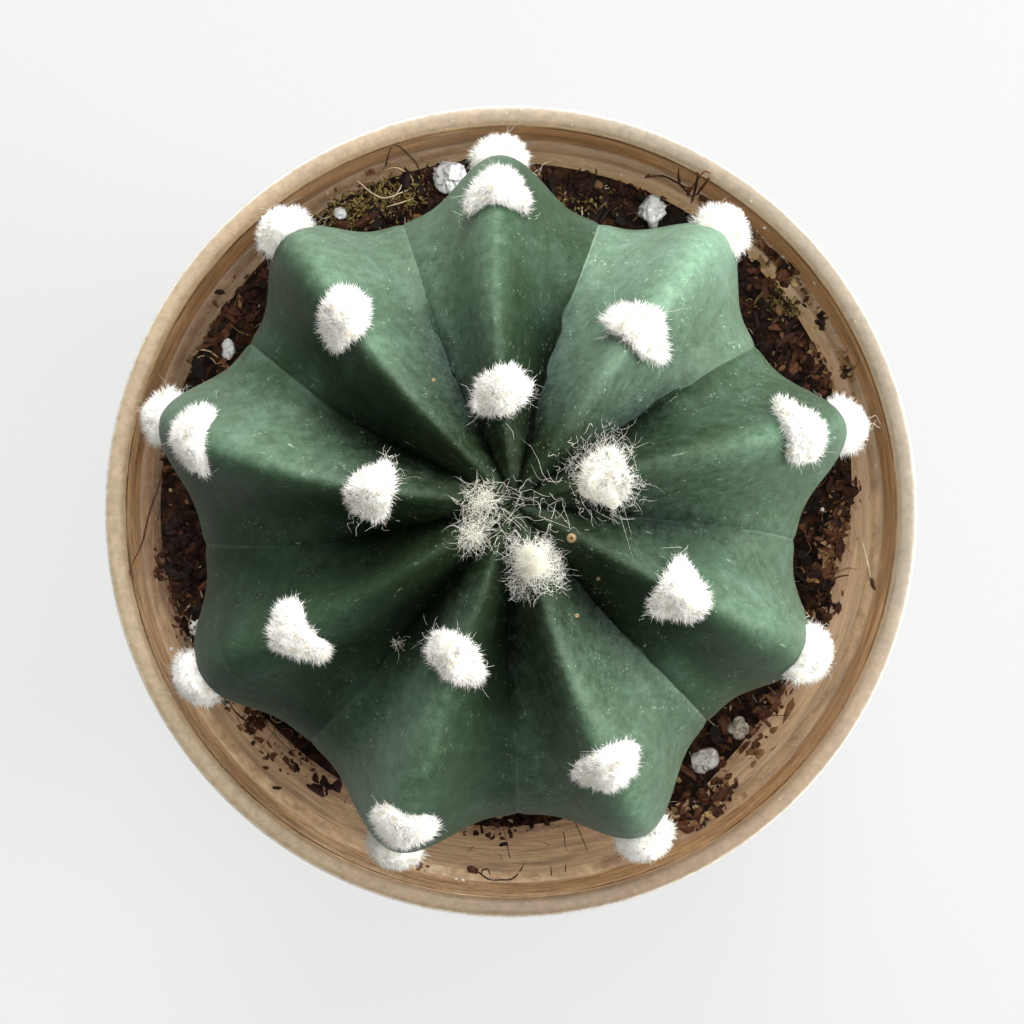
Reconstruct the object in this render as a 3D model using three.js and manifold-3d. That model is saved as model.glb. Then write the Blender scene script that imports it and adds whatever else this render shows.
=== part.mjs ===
// Potted cactus with nine ribs and white woolly areoles in a round nursery pot.
// Millimetres, +Z up. The origin is the centre of the pot's foot, on the surface it stands on.
// +X is to the right and +Y is away from the viewer, seen from above.

import * as THREE from "three";
import { mergeVertices } from "three/addons/utils/BufferGeometryUtils.js";
import Module from "manifold-3d";

const wasm = await Module();
wasm.setup();

const { degToRad, lerp, smoothstep } = THREE.MathUtils;

// Fits between pieces
const TOUCH_GAP = 0.3;
const GROWN_GAP = 0.35;

// Pot, an 8.5 cm nursery pot
const POT_SIDES = 48;
const POT_HEIGHT = 70;
const LIP_RADIUS = 42.5;
const LIP_INNER_RADIUS = 40.4;
const LIP_ROUND = 0.9;
const COLLAR_INNER_RADIUS = 39.9;
const COLLAR_BOTTOM = 59;
const LEDGE_HEIGHT = 60.5;
const LEDGE_DROP = 0.5;
const LEDGE_INNER_RADIUS = 38.9;
const WALL_TOP_RADIUS = 40.2;
const WALL_FOOT_RADIUS = 30.5;
const FLOOR_TOP = 3.1;
const FLOOR_UNDERSIDE = 1.5;
const FLOOR_RADIUS = 29.2;
const FOOT_INNER_RADIUS = 27;
const DRAIN_RADIUS = 3;
const DRAIN_CIRCLE = 18;
const DRAIN_COUNT = 5;
const DRAIN_SIDES = 10;

// Stem: the crest of a rib, drawn from the crown outwards and down by its slope in degrees
// at each length along it. A slope of 0 is level, and 90 is straight down.
const STEM_TOP = 100;
const STEM_AXIS = { x: -1.1, y: 0.3 };
const CROWN_SHIFT = { x: 1.4, y: 0.5 };
const SHIFT_FADES = [24, 48];
const CREST_SLOPES = [
  [0, -30],
  [6, -14],
  [12, 2],
  [24, 21],
  [34, 50],
  [46, 90],
  [60, 99],
  [72, 104],
  [78, 150],
  [90, 150],
  [102, 112],
  [116, 96],
];
const CREST_ROWS = [
  1.5, 3, 5, 7.5, 10, 12.5, 15, 18, 21, 24, 27, 30, 33, 36, 39, 42, 45, 48, 51.5, 55, 58.5, 62, 65.5, 69,
  73, 78, 86, 98, 112,
];

// Ribs: azimuth in degrees round the stem's axis on the side, how many degrees more it is at the
// crown, and how far each rib reaches against the mean
const RIBS = [
  { azimuth: 90, curl: 7, reach: 1.0 },
  { azimuth: 51.4, curl: 4, reach: 1.006 },
  { azimuth: 13.4, curl: 2, reach: 1.006 },
  { azimuth: -25.8, curl: -3, reach: 0.962 },
  { azimuth: -66, curl: -8, reach: 1.018 },
  { azimuth: -107.4, curl: -3, reach: 1.02 },
  { azimuth: -151, curl: 3.5, reach: 0.98 },
  { azimuth: -195, curl: 11, reach: 1.0 },
  { azimuth: -232, curl: 7, reach: 0.996 },
];
const CURL_FADES = [8, 48];
const RIB_COUNT = RIBS.length;
const RIB_STATIONS = [0, 0.2, 0.48, 0.7, 0.85, 1, 1.15, 1.3, 1.52, 1.8];
const GROOVE_DEPTHS = [
  [0, 0],
  [4, 1.2],
  [10, 4.2],
  [16, 7],
  [22, 7.2],
  [34, 6.2],
  [46, 4.8],
  [68, 4.2],
  [88, 0],
];
const CROWN_POWER = 2;
const FLANK_POWER = 3.3;
const FLANK_FADES = [-6, 28];
const CREST_BULGE = 0.2;

// Areoles: one after another round the crown, each on the rib two before the last one's
const AREOLE_COUNT = 31;
const AREOLE_START = 2.6;
const AREOLE_STEP_CROWN = 2.27;
const AREOLE_STEP_SIDE = 1.75;
const AREOLES_ON_CROWN = 14;
const AREOLE_NUDGES = {
  2: -0.8, 4: -0.6, 9: 1.8, 14: -0.8, 15: -1, 16: 2.6, 17: 2.2, 18: 1, 19: 1, 20: 1.3, 21: 0.8, 24: -1.2,
};

// Wool pads: half width across the rib, half length along it, turn in degrees of the long side from
// straight across, how much they narrow towards one end, how much they bend, and height
const WOOL_PADS = {
  0: [2.5, 1.9, 0, 0, 0, 1.3],
  1: [2.5, 1.9, 0, 0, 0, 1.3],
  2: [2.0, 2.8, 10, 0, 0, 1.5],
  3: [3.0, 2.6, 0, 0, 0, 1.8],
  4: [3.0, 2.2, 21, 0, 0, 2.2],
  5: [3.0, 2.2, -24, 0.1, 0, 2.2],
  6: [3.2, 2.0, -20, -0.3, 0, 2.3],
  7: [3.1, 2.5, 22, -0.45, 0, 2.3],
  8: [3.6, 2.1, -2, -0.2, -0.2, 2.5],
  9: [3.0, 2.5, 30, 0.2, 0, 2.5],
  10: [3.5, 1.95, 11, -0.1, -0.3, 2.5],
  11: [3.3, 2.1, 6, -0.05, 0.25, 2.5],
  12: [3.5, 2.1, 20, -0.4, 0, 2.5],
  13: [3.3, 2.2, 0, 0, -0.45, 2.5],
  14: [3.4, 2.0, 20, -0.25, -0.35, 2.5],
  15: [3.3, 2.1, 15, -0.1, -0.25, 2.6],
};
const SIDE_PAD = [3.2, 2.2, 0, 0, 0, 3.5];
const PAD_BRIDGE = 1.5;
const PAD_SHOULDER = 2.6;
const PAD_RINGS = [0.36, 0.7, 0.9, 1];
const PAD_FOOT = [0.85, -0.6];
const PAD_SPOKES = 12;
const LOCK_REACH = 0.2;
const LOCK_DIP = 0.1;
const FUSED_CROWN_TUFTS = 2;

// Potting mix
const MIX_LEVEL = 57.6;
const MIX_COLUMNS = 72;
const MIX_RINGS = [18, 26.5, 29.5, 32, 34.4, 36.6];
const MIX_CRUMB = 0.75;
const MIX_BANK = 48.5;
const MIX_BANK_FADES = [21, 31];
// Height of the mix along the wall, by azimuth: washed down on the viewer's side
const MIX_HEIGHTS = [
  [-90, 43.5],
  [-78, 42],
  [-68, 44],
  [-62, 51],
  [-57, 53],
  [-51, 50],
  [-44, 48],
  [-36, 47],
  [-20, 47],
  [-9, 48.5],
  [0, 53],
  [10, 55],
  [50, 56],
  [85, 56.5],
  [100, 58.7],
  [125, 59],
  [140, 57.6],
  [180, 57.4],
  [195, 56.5],
  [204, 54.5],
  [213, 48],
  [222, 45.5],
  [240, 44.5],
  [270, 43.5],
];

// Grains of perlite: place, and sizes along the wall, towards the axis and upwards
const GRAINS = [
  { x: 15.4, y: 32.7, size: [2.9, 3.5, 4.6], seed: 11 },
  { x: -6.7, y: 36.1, size: [4.3, 3.5, 3.8], seed: 12 },
  { x: -18.4, y: 32.2, size: [1.9, 1.6, 1.7], seed: 13 },
  { x: -30.7, y: 17.6, size: [2.4, 2.1, 1.9], seed: 14 },
  { x: 21.4, y: -27.6, size: [3.4, 3.5, 3.4], seed: 15 },
  { x: 25.4, y: -24.3, size: [2.9, 2.6, 2.5], seed: 16 },
  { x: 34.9, y: 11.5, size: [2.2, 1.7, 1.6], seed: 17 },
  { x: -34.6, y: -12.6, size: [2.0, 1.7, 1.5], seed: 18 },
];
const GRAIN_LUMPS = 0.24;
const GRAIN_SINK = 0.55;

// Bark chips that stand on the ledge and lean on the collar: azimuth, length, height, thickness
const CHIPS = [
  { azimuth: 40.5, length: 4.6, height: 3.4, thick: 0.9, seed: 31 },
  { azimuth: 50.5, length: 3.4, height: 2.4, thick: 0.8, seed: 32 },
  { azimuth: 31.5, length: 3.0, height: 2.0, thick: 0.8, seed: 33 },
  { azimuth: 22.5, length: 2.6, height: 2.2, thick: 0.7, seed: 34 },
];
const CHIP_CORNERS = 7;

// A draw between 0 and 1 that is the same each time for the same whole numbers.
function draw(seed, index = 0) {
  let bits = Math.imul(seed + 1, 374761393) ^ Math.imul(index + 7, 668265263);
  bits = Math.imul(bits ^ (bits >>> 13), 1274126177);
  bits = Math.imul(bits ^ (bits >>> 16), 2246822519);
  return ((bits ^ (bits >>> 15)) >>> 0) / 4294967296;
}

// The value at x on a table of [x, value] rows joined by straight lines.
function valueAt(table, x) {
  const next = table.findIndex((row) => row[0] >= x);
  if (next === 0) return table[0][1];
  if (next < 0) return table[table.length - 1][1];
  const [x0, y0] = table[next - 1];
  const [x1, y1] = table[next];
  return lerp(y0, y1, (x - x0) / (x1 - x0));
}

// A mesh geometry as a solid for joining and cutting.
function toSolid(geometry) {
  const bare = geometry.clone();
  bare.deleteAttribute("normal");
  bare.deleteAttribute("uv");
  const merged = mergeVertices(bare, 1e-4);
  return new wasm.Manifold(
    new wasm.Mesh({
      numProp: 3,
      vertProperties: new Float32Array(merged.attributes.position.array),
      triVerts: new Uint32Array(merged.index.array),
    }),
  );
}

// The largest body of a solid as a mesh geometry.
function toGeometry(solid) {
  const bodies = solid.decompose().sort((a, b) => b.volume() - a.volume());
  const mesh = bodies[0].getMesh();
  const geometry = new THREE.BufferGeometry();
  geometry.setAttribute("position", new THREE.BufferAttribute(new Float32Array(mesh.vertProperties), 3));
  geometry.setIndex(new THREE.BufferAttribute(new Uint32Array(mesh.triVerts), 1));
  geometry.computeVertexNormals();
  return geometry;
}

// A closed surface over rings of points, from a single top point down to a single bottom point.
function closeRings(top, rings, bottom) {
  const count = rings[0].length;
  const points = [top, ...rings.flat(), bottom];
  const at = (row, column) => 1 + row * count + (column % count);
  const index = [];
  for (let column = 0; column < count; column += 1) {
    index.push(0, at(0, column), at(0, column + 1));
    for (let row = 0; row + 1 < rings.length; row += 1) {
      index.push(at(row, column), at(row + 1, column), at(row + 1, column + 1));
      index.push(at(row, column), at(row + 1, column + 1), at(row, column + 1));
    }
    index.push(at(rings.length - 1, column), points.length - 1, at(rings.length - 1, column + 1));
  }
  const geometry = new THREE.BufferGeometry().setFromPoints(points);
  geometry.setIndex(index);
  geometry.computeVertexNormals();
  return geometry;
}

// The same surface moved outwards along its normals.
function grow(geometry, distance) {
  const grown = geometry.clone();
  const { position, normal } = grown.attributes;
  for (let i = 0; i < position.count; i += 1) {
    position.setXYZ(
      i,
      position.getX(i) + normal.getX(i) * distance,
      position.getY(i) + normal.getY(i) * distance,
      position.getZ(i) + normal.getZ(i) * distance,
    );
  }
  return grown;
}

// Radius of the pot's inner wall at a height below the ledge.
function wallInside(z) {
  return lerp(FLOOR_RADIUS, LEDGE_INNER_RADIUS, (z - FLOOR_TOP) / (LEDGE_HEIGHT - LEDGE_DROP - FLOOR_TOP));
}

// The pot: a turned wall with a rounded lip, a collar, a ledge inside it, a foot ring and drain holes.
function potGeometry() {
  const profile = [
    [0, FLOOR_UNDERSIDE],
    [FOOT_INNER_RADIUS - 0.6, FLOOR_UNDERSIDE],
    [FOOT_INNER_RADIUS, 0],
    [WALL_FOOT_RADIUS - 0.6, 0],
    [WALL_FOOT_RADIUS, 0.6],
    [lerp(WALL_FOOT_RADIUS, WALL_TOP_RADIUS, 0.5), COLLAR_BOTTOM / 2],
    [WALL_TOP_RADIUS, COLLAR_BOTTOM],
    [LIP_RADIUS - 0.9, COLLAR_BOTTOM],
    [LIP_RADIUS - 0.5, COLLAR_BOTTOM + 0.5],
    [LIP_RADIUS, POT_HEIGHT - LIP_ROUND],
    [LIP_RADIUS - 0.28, POT_HEIGHT - 0.25],
    [LIP_RADIUS - LIP_ROUND, POT_HEIGHT],
    [LIP_INNER_RADIUS + 0.5, POT_HEIGHT - 0.1],
    [LIP_INNER_RADIUS, POT_HEIGHT - 0.6],
    [COLLAR_INNER_RADIUS, LEDGE_HEIGHT],
    [LEDGE_INNER_RADIUS, LEDGE_HEIGHT - LEDGE_DROP],
    [wallInside(POT_HEIGHT / 2), POT_HEIGHT / 2],
    [FLOOR_RADIUS, FLOOR_TOP + 0.8],
    [FLOOR_RADIUS - 0.8, FLOOR_TOP],
    [0, FLOOR_TOP],
  ];
  const wall = new THREE.LatheGeometry(
    profile.map(([r, z]) => new THREE.Vector2(r, z)),
    POT_SIDES,
  );
  wall.rotateX(Math.PI / 2);
  let solid = toSolid(wall);
  for (let hole = 0; hole <= DRAIN_COUNT; hole += 1) {
    const angle = (2 * Math.PI * hole) / DRAIN_COUNT;
    const radius = hole < DRAIN_COUNT ? DRAIN_CIRCLE : 0;
    const drill = new THREE.CylinderGeometry(DRAIN_RADIUS, DRAIN_RADIUS, 4 * FLOOR_TOP, DRAIN_SIDES);
    drill.rotateX(Math.PI / 2);
    drill.translate(radius * Math.cos(angle), radius * Math.sin(angle), FLOOR_TOP);
    solid = solid.subtract(toSolid(drill));
  }
  return toGeometry(solid);
}

// Length along the crest at which an areole lies, counted from the crown.
function areoleLength(k) {
  const onCrown = Math.min(k, AREOLES_ON_CROWN);
  const nudge = AREOLE_NUDGES[k] ?? 0;
  return AREOLE_START + onCrown * AREOLE_STEP_CROWN + (k - onCrown) * AREOLE_STEP_SIDE + nudge;
}

// The rib, counted from 0, that carries an areole.
function areoleRib(k) {
  return (((RIB_COUNT - 1 - 2 * k) % RIB_COUNT) + RIB_COUNT) % RIB_COUNT;
}

// The crest's radius, height and slope at each half millimetre from the crown to the root's tip.
const CREST_STEP = 0.5;
function drawCrest() {
  const end = CREST_SLOPES[CREST_SLOPES.length - 1][0];
  const points = [];
  let r = 0;
  let z = 0;
  for (let s = 0; s <= end; s += CREST_STEP) {
    const slope = degToRad(valueAt(CREST_SLOPES, s + CREST_STEP / 2));
    points.push({ r, z, slope });
    r += Math.cos(slope) * CREST_STEP;
    z -= Math.sin(slope) * CREST_STEP;
  }
  const top = Math.max(...points.map((point) => point.z));
  return points.map((point) => ({ ...point, z: point.z + STEM_TOP - top }));
}
const CREST = drawCrest();

function crestAt(s) {
  const place = Math.min(s / CREST_STEP, CREST.length - 1.001);
  const a = CREST[Math.floor(place)];
  const b = CREST[Math.floor(place) + 1];
  const t = place - Math.floor(place);
  return { r: lerp(a.r, b.r, t), z: lerp(a.z, b.z, t), slope: lerp(a.slope, b.slope, t) };
}

// How far the crest swells between one areole and the next on the same rib, from 0 to 1.
function swellAt(rib, s) {
  const marks = [];
  for (let k = 0; k < AREOLE_COUNT + RIB_COUNT; k += 1) {
    if (areoleRib(k) === rib) marks.push(areoleLength(k));
  }
  const next = marks.findIndex((mark) => mark > s);
  if (next < 0) return 0;
  const from = next > 0 ? marks[next - 1] : marks[0] - AREOLE_STEP_CROWN * RIB_COUNT;
  const t = (s - from) / (marks[next] - from);
  return Math.sin(Math.PI * t ** 0.85) ** 2 * smoothstep(s, 4, 16);
}

// A point of the stem at length s along the crest and at a rib position u, which is a whole
// number on a crest and a half on the floor of a groove.
function stemPoint(s, u) {
  const rib = ((Math.round(u) % RIB_COUNT) + RIB_COUNT) % RIB_COUNT;
  const side = u - Math.round(u);
  const neighbour = (rib + (side < 0 ? RIB_COUNT - 1 : 1)) % RIB_COUNT;
  const share = 2 * Math.abs(side);
  const azimuthOf = ({ azimuth, curl }) => azimuth + curl * (1 - smoothstep(s, ...CURL_FADES));
  let gap = azimuthOf(RIBS[neighbour]) - azimuthOf(RIBS[rib]);
  gap -= 360 * Math.round(gap / 360);
  const azimuth = degToRad(azimuthOf(RIBS[rib]) + (gap * share) / 2);
  const reach = lerp(RIBS[rib].reach, (RIBS[rib].reach + RIBS[neighbour].reach) / 2, share);

  const { r, z, slope } = crestAt(s);
  const crown = 1 - share ** CROWN_POWER;
  const flank = Math.cos((Math.PI * share) / 2) ** FLANK_POWER;
  const height = lerp(crown, flank, smoothstep(s, ...FLANK_FADES));
  const inward = valueAt(GROOVE_DEPTHS, s) * (1 - height) - CREST_BULGE * swellAt(rib, s) * height ** 1.5;

  const radius = (r - Math.sin(slope) * inward) * lerp(1, reach, smoothstep(s, 8, 40));
  const shift = 1 - smoothstep(s, ...SHIFT_FADES);
  return new THREE.Vector3(
    STEM_AXIS.x + CROWN_SHIFT.x * shift + radius * Math.cos(azimuth),
    STEM_AXIS.y + CROWN_SHIFT.y * shift + radius * Math.sin(azimuth),
    z - Math.cos(slope) * inward,
  );
}

// The stem: ribs round a sunken crown, narrowing to a neck and a root inside the mix.
function stemGeometry() {
  const columns = [];
  for (let rib = RIB_COUNT - 1; rib >= 0; rib -= 1) {
    RIB_STATIONS.forEach((station) => columns.push(rib + 0.5 - station / 2));
  }
  const rings = CREST_ROWS.map((s) => columns.map((u) => stemPoint(s, u)));
  const tip = stemPoint(CREST_SLOPES[CREST_SLOPES.length - 1][0], 0);
  return closeRings(stemPoint(0, 0), rings, new THREE.Vector3(STEM_AXIS.x, STEM_AXIS.y, tip.z - 2));
}

// Height of the mix at a place: that along the wall at its azimuth, with a bank against the stem's neck.
function mixHeight(x, y) {
  const azimuth = ((THREE.MathUtils.radToDeg(Math.atan2(y, x)) + 450) % 360) - 90;
  const height = valueAt(MIX_HEIGHTS, azimuth);
  const bank = 1 - smoothstep(Math.hypot(x, y), ...MIX_BANK_FADES);
  return height + Math.max(MIX_BANK - height, 0) * bank;
}

// The potting mix: crumbly on top, with a hole for the stem and a dent under each grain.
function mixGeometry(stem, grains) {
  const ring = (radius, height) =>
    Array.from({ length: MIX_COLUMNS }, (_, column) => {
      const angle = (2 * Math.PI * column) / MIX_COLUMNS;
      const x = Math.cos(angle);
      const y = Math.sin(angle);
      const reach = radius ?? LEDGE_INNER_RADIUS;
      const z = height(reach * x, reach * y, column);
      const r = radius ?? wallInside(z) - TOUCH_GAP;
      return new THREE.Vector3(r * x, r * y, z);
    });
  const crumb = (row) => (x, y, column) => mixHeight(x, y) + MIX_CRUMB * (2 * draw(row, column) - 1);
  const rings = MIX_RINGS.map((radius, row) => ring(radius, crumb(row)));
  const bottom = FLOOR_TOP + TOUCH_GAP;
  rings.push(ring(null, crumb(MIX_RINGS.length)));
  rings.push(ring(null, () => MIX_LEVEL / 2));
  rings.push(ring(null, () => bottom + 1));
  rings.push(ring(FLOOR_RADIUS - 1.5, () => bottom));
  const top = new THREE.Vector3(0, 0, MIX_LEVEL);
  let solid = toSolid(closeRings(top, rings, new THREE.Vector3(0, 0, bottom)));
  solid = solid.subtract(toSolid(grow(stem, GROWN_GAP)));
  grains.forEach((grain) => {
    solid = solid.subtract(toSolid(grow(grain, GROWN_GAP)));
  });
  return toGeometry(solid);
}

// A point of an areole's pad: r is 0 in its middle and 1 on its edge, phi runs round it, and lift is 0
// on the skin and 1 on the wool. Its foot follows both flanks of the rib until it bridges the groove.
function padPoint(k, r, phi, lift) {
  const [halfAcross, halfAlong, turn, taper, bend, height] = WOOL_PADS[k] ?? SIDE_PAD;
  const s = areoleLength(k);
  const u = areoleRib(k);
  const base = stemPoint(s, u);
  const along = stemPoint(s + 1.5, u).sub(stemPoint(s - 1.5, u)).normalize();
  const across = stemPoint(s, u - 0.06).sub(stemPoint(s, u + 0.06)).normalize();
  const out = along.clone().cross(across).normalize();
  const p = r * Math.cos(phi);
  const q = r * Math.sin(phi);
  const longSide = halfAcross * p;
  const shortSide = halfAlong * (q * (1 + taper * p) + bend * (p * p - 0.33));
  const cosine = Math.cos(degToRad(turn));
  const sine = Math.sin(degToRad(turn));
  const lateral = longSide * cosine + shortSide * sine;
  const lengthwise = shortSide * cosine - longSide * sine;
  const width = stemPoint(s, u + 0.05).distanceTo(stemPoint(s, u - 0.05)) / 0.1;
  const skin = stemPoint(Math.max(s + lengthwise, 0.3), u - lateral / width);
  const drop = PAD_BRIDGE * Math.tanh(skin.sub(base).dot(out) / PAD_BRIDGE);
  const dome = height * Math.sqrt(Math.max(1 - r ** PAD_SHOULDER, 0));
  return base
    .clone()
    .addScaledVector(across, lateral)
    .addScaledVector(along, lengthwise)
    .addScaledVector(out, drop + dome * lift);
}

// The pad of wool on one areole before its underside is cut to the stem. Every other point of its
// surface is drawn out into the tip of a lock.
function woolPad(k) {
  const ring = (r, lift, row) =>
    Array.from({ length: PAD_SPOKES }, (_, spoke) => {
      const raised = (spoke + row) % 2 === 0;
      const roll = draw(k, 100 + row * PAD_SPOKES + spoke);
      const reach = raised ? 1 + LOCK_REACH * (0.4 + 0.6 * roll) : 1 - LOCK_DIP * roll;
      const phi = (-2 * Math.PI * spoke) / PAD_SPOKES;
      return padPoint(k, r < 1 ? r : 1, phi, lift * reach);
    });
  const rings = PAD_RINGS.map((r, row) => ring(r, 1, row));
  rings.push(ring(...PAD_FOOT, PAD_RINGS.length));
  return closeRings(padPoint(k, 0, 0, 1), rings, padPoint(k, 0, 0, PAD_FOOT[1]));
}

// A grain of perlite: a lumpy, foamed pebble, partly sunk in the mix.
function grainGeometry({ x, y, size, seed }) {
  const bare = new THREE.IcosahedronGeometry(1, 1);
  bare.deleteAttribute("normal");
  bare.deleteAttribute("uv");
  const grain = mergeVertices(bare, 1e-4);
  const { position } = grain.attributes;
  for (let i = 0; i < position.count; i += 1) {
    const lump = 1 + GRAIN_LUMPS * (0.4 - draw(seed, i));
    position.setXYZ(i, position.getX(i) * lump, position.getY(i) * lump, position.getZ(i) * lump);
  }
  grain.scale(size[1] / 2, size[0] / 2, size[2] / 2);
  grain.rotateZ(Math.atan2(y, x));
  grain.translate(x, y, mixHeight(x, y) + (size[2] / 2) * GRAIN_SINK);
  grain.computeVertexNormals();
  return grain;
}

// A chip of bark that stands on the pot's ledge and leans on its collar.
function chipGeometry({ azimuth, length, height, thick, seed }) {
  const corners = Array.from({ length: CHIP_CORNERS }, (_, corner) => {
    const angle = (2 * Math.PI * corner) / CHIP_CORNERS;
    const reach = lerp(0.72, 1, draw(seed, corner));
    return new THREE.Vector2((length / 2) * Math.cos(angle) * reach, (height / 2) * Math.sin(angle) * reach);
  });
  const chip = new THREE.ExtrudeGeometry(new THREE.Shape(corners), { depth: thick, bevelEnabled: false });
  chip.computeBoundingBox();
  chip.translate(0, -chip.boundingBox.min.y, -thick / 2);
  chip.rotateX(Math.PI / 2);
  chip.rotateZ(Math.PI / 2);
  chip.translate(LEDGE_INNER_RADIUS + 0.1, 0, LEDGE_HEIGHT + TOUCH_GAP);
  chip.rotateZ(degToRad(azimuth));
  return chip;
}

const FINISHES = {
  pot: { color: 0xb79d7d, roughness: 0.42, metalness: 0 },
  mix: { color: 0x33251a, roughness: 0.95, metalness: 0 },
  stem: { color: 0x6f8a76, roughness: 0.55, metalness: 0 },
  wool: { color: 0xf8f7ee, roughness: 0.95, metalness: 0 },
  perlite: { color: 0xe6e4dd, roughness: 0.9, metalness: 0 },
  bark: { color: 0x3d2317, roughness: 0.85, metalness: 0 },
};

const plant = new THREE.Group();

function add(name, geometry, finish) {
  const mesh = new THREE.Mesh(geometry, new THREE.MeshStandardMaterial(FINISHES[finish]));
  mesh.name = name;
  plant.add(mesh);
}

const stem = stemGeometry();
const grains = GRAINS.map(grainGeometry);

add("pot", potGeometry(), "pot");
add("potting_mix", mixGeometry(stem, grains), "mix");
add("cactus_stem", stem, "stem");

const cutter = toSolid(grow(stem, GROWN_GAP));
const tufts = Array.from({ length: AREOLE_COUNT }, (_, k) => toSolid(woolPad(k)));
const crown = tufts.slice(0, FUSED_CROWN_TUFTS).reduce((a, b) => a.add(b));
add("areole_wool_crown", toGeometry(crown.subtract(cutter)), "wool");
tufts.slice(FUSED_CROWN_TUFTS).forEach((tuft, i) => {
  const number = String(i + FUSED_CROWN_TUFTS).padStart(2, "0");
  add(`areole_wool_${number}`, toGeometry(tuft.subtract(cutter)), "wool");
});

grains.forEach((grain, i) => add(`perlite_grain_${i + 1}`, grain, "perlite"));
CHIPS.forEach((chip, i) => add(`bark_chip_${i + 1}`, chipGeometry(chip), "bark"));

export default plant;
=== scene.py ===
import math

import bpy
import numpy as np
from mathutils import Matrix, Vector


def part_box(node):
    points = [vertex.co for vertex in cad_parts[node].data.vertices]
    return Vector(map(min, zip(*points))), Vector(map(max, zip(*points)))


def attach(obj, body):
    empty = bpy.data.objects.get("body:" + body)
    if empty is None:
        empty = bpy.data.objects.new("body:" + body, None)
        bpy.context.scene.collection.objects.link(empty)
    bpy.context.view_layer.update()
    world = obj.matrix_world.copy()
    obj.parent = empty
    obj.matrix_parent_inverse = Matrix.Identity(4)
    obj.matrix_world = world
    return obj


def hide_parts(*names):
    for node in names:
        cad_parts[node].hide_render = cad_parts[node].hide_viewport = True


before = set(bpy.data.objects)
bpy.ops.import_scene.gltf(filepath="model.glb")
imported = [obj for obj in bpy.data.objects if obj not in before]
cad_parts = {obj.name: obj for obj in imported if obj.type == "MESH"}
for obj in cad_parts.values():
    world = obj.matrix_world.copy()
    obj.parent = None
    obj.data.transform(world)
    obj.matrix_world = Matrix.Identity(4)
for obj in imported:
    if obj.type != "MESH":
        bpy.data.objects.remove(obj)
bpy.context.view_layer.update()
scene = bpy.context.scene
MM = 0.001

# Camera: held level above the crown and looking straight down. At the height of the pot's lip
# its picture is 106.9 mm wide, so the pot fills four fifths of it.
CAMERA_PLACE = (0.1, -0.05, 370)
LIP_HEIGHT = 70
PICTURE_WIDTH = 106.9
SENSOR = 36

lens = bpy.data.cameras.new("camera")
lens.sensor_width = SENSOR
lens.lens = SENSOR * (CAMERA_PLACE[2] - LIP_HEIGHT) / PICTURE_WIDTH
lens.clip_start = 0.01
camera = bpy.data.objects.new("camera", lens)
camera.location = [c * MM for c in CAMERA_PLACE]
scene.collection.objects.link(camera)
scene.camera = camera

# Light: two broad low windows, to the right of the picture and at its top, weaker light between them
# and from the lower right, and the pale walls and ceiling of a room.
# A window's azimuth in degrees from the right of the picture, and its power
WINDOWS = [(0, 6.2), (45, 0.8), (90, 6.0), (315, 0.8)]
WINDOW_HANG = {"elevation": 28, "distance": 700, "across": 350}
ROOM_LIGHT = 0.16
ROOM_TONE = "#fbf6e0"
CEILING = {"azimuth": 60, "elevation": 78, "distance": 800, "across": 500, "power": 4.2}


def linear(code):
    """An sRGB hex colour as linear red, green, blue and alpha."""
    parts = np.array([int(code[i:i + 2], 16) for i in (1, 3, 5)]) / 255
    low = parts / 12.92
    high = ((parts + 0.055) / 1.055) ** 2.4
    return (*np.where(parts <= 0.04045, low, high).tolist(), 1.0)


def hang_light(name, azimuth, elevation, distance, across, power):
    """A square area light on a sphere round the plant's crown that faces its centre."""
    lamp = bpy.data.lights.new(name, "AREA")
    lamp.size = across * MM
    lamp.energy = power
    turn, tilt = math.radians(azimuth), math.radians(elevation)
    towards = Vector((math.cos(turn) * math.cos(tilt), math.sin(turn) * math.cos(tilt), math.sin(tilt)))
    holder = bpy.data.objects.new(name, lamp)
    holder.location = towards * distance * MM + Vector((0, 0, LIP_HEIGHT * MM))
    holder.rotation_euler = (-towards).to_track_quat("-Z", "Y").to_euler()
    scene.collection.objects.link(holder)


for number, (azimuth, power) in enumerate(WINDOWS):
    hang_light(f"window_{number}", azimuth, power=power, **WINDOW_HANG)
hang_light("ceiling", **CEILING)
room = bpy.data.worlds.new("room")
room.use_nodes = True
room.node_tree.nodes["Background"].inputs["Color"].default_value = linear(ROOM_TONE)
room.node_tree.nodes["Background"].inputs["Strength"].default_value = ROOM_LIGHT
scene.world = room
scene.view_settings.view_transform = "Standard"


# Table: an opal light table, as used for product pictures, that runs out of the picture on every
# side. Its own weak glow keeps the plant's shadow pale.
TABLE_HALF = 3000
TABLE_GLOW = 0.675
TABLE_TONE = "#5c5c5c"


def feed(fed, inputs):
    """Gives a node its inputs, by name or in the order of its sockets. Each is a number, a hex colour, a
    socket to link, or a node whose first output is linked."""
    for name, value in inputs.items() if isinstance(inputs, dict) else enumerate(inputs):
        if isinstance(value, bpy.types.Node):
            value = value.outputs[0]
        if isinstance(value, bpy.types.NodeSocket):
            fed.id_data.links.new(value, fed.inputs[name])
        else:
            fed.inputs[name].default_value = linear(value) if isinstance(value, str) else value


def node(tree, kind, inputs=(), stops=(), **settings):
    """Adds one node: its properties set, its inputs fed, and its colour stops, where it has a ramp,
    given as (place, hex colour)."""
    made = tree.nodes.new("ShaderNode" + kind)
    for name, value in settings.items():
        setattr(made, name, value)
    feed(made, inputs)
    for index, (place, code) in enumerate(stops):
        ramp = made.color_ramp.elements
        stop = ramp[index] if index < 2 else ramp.new(place)
        stop.position = place
        stop.color = linear(code)
    return made


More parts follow.
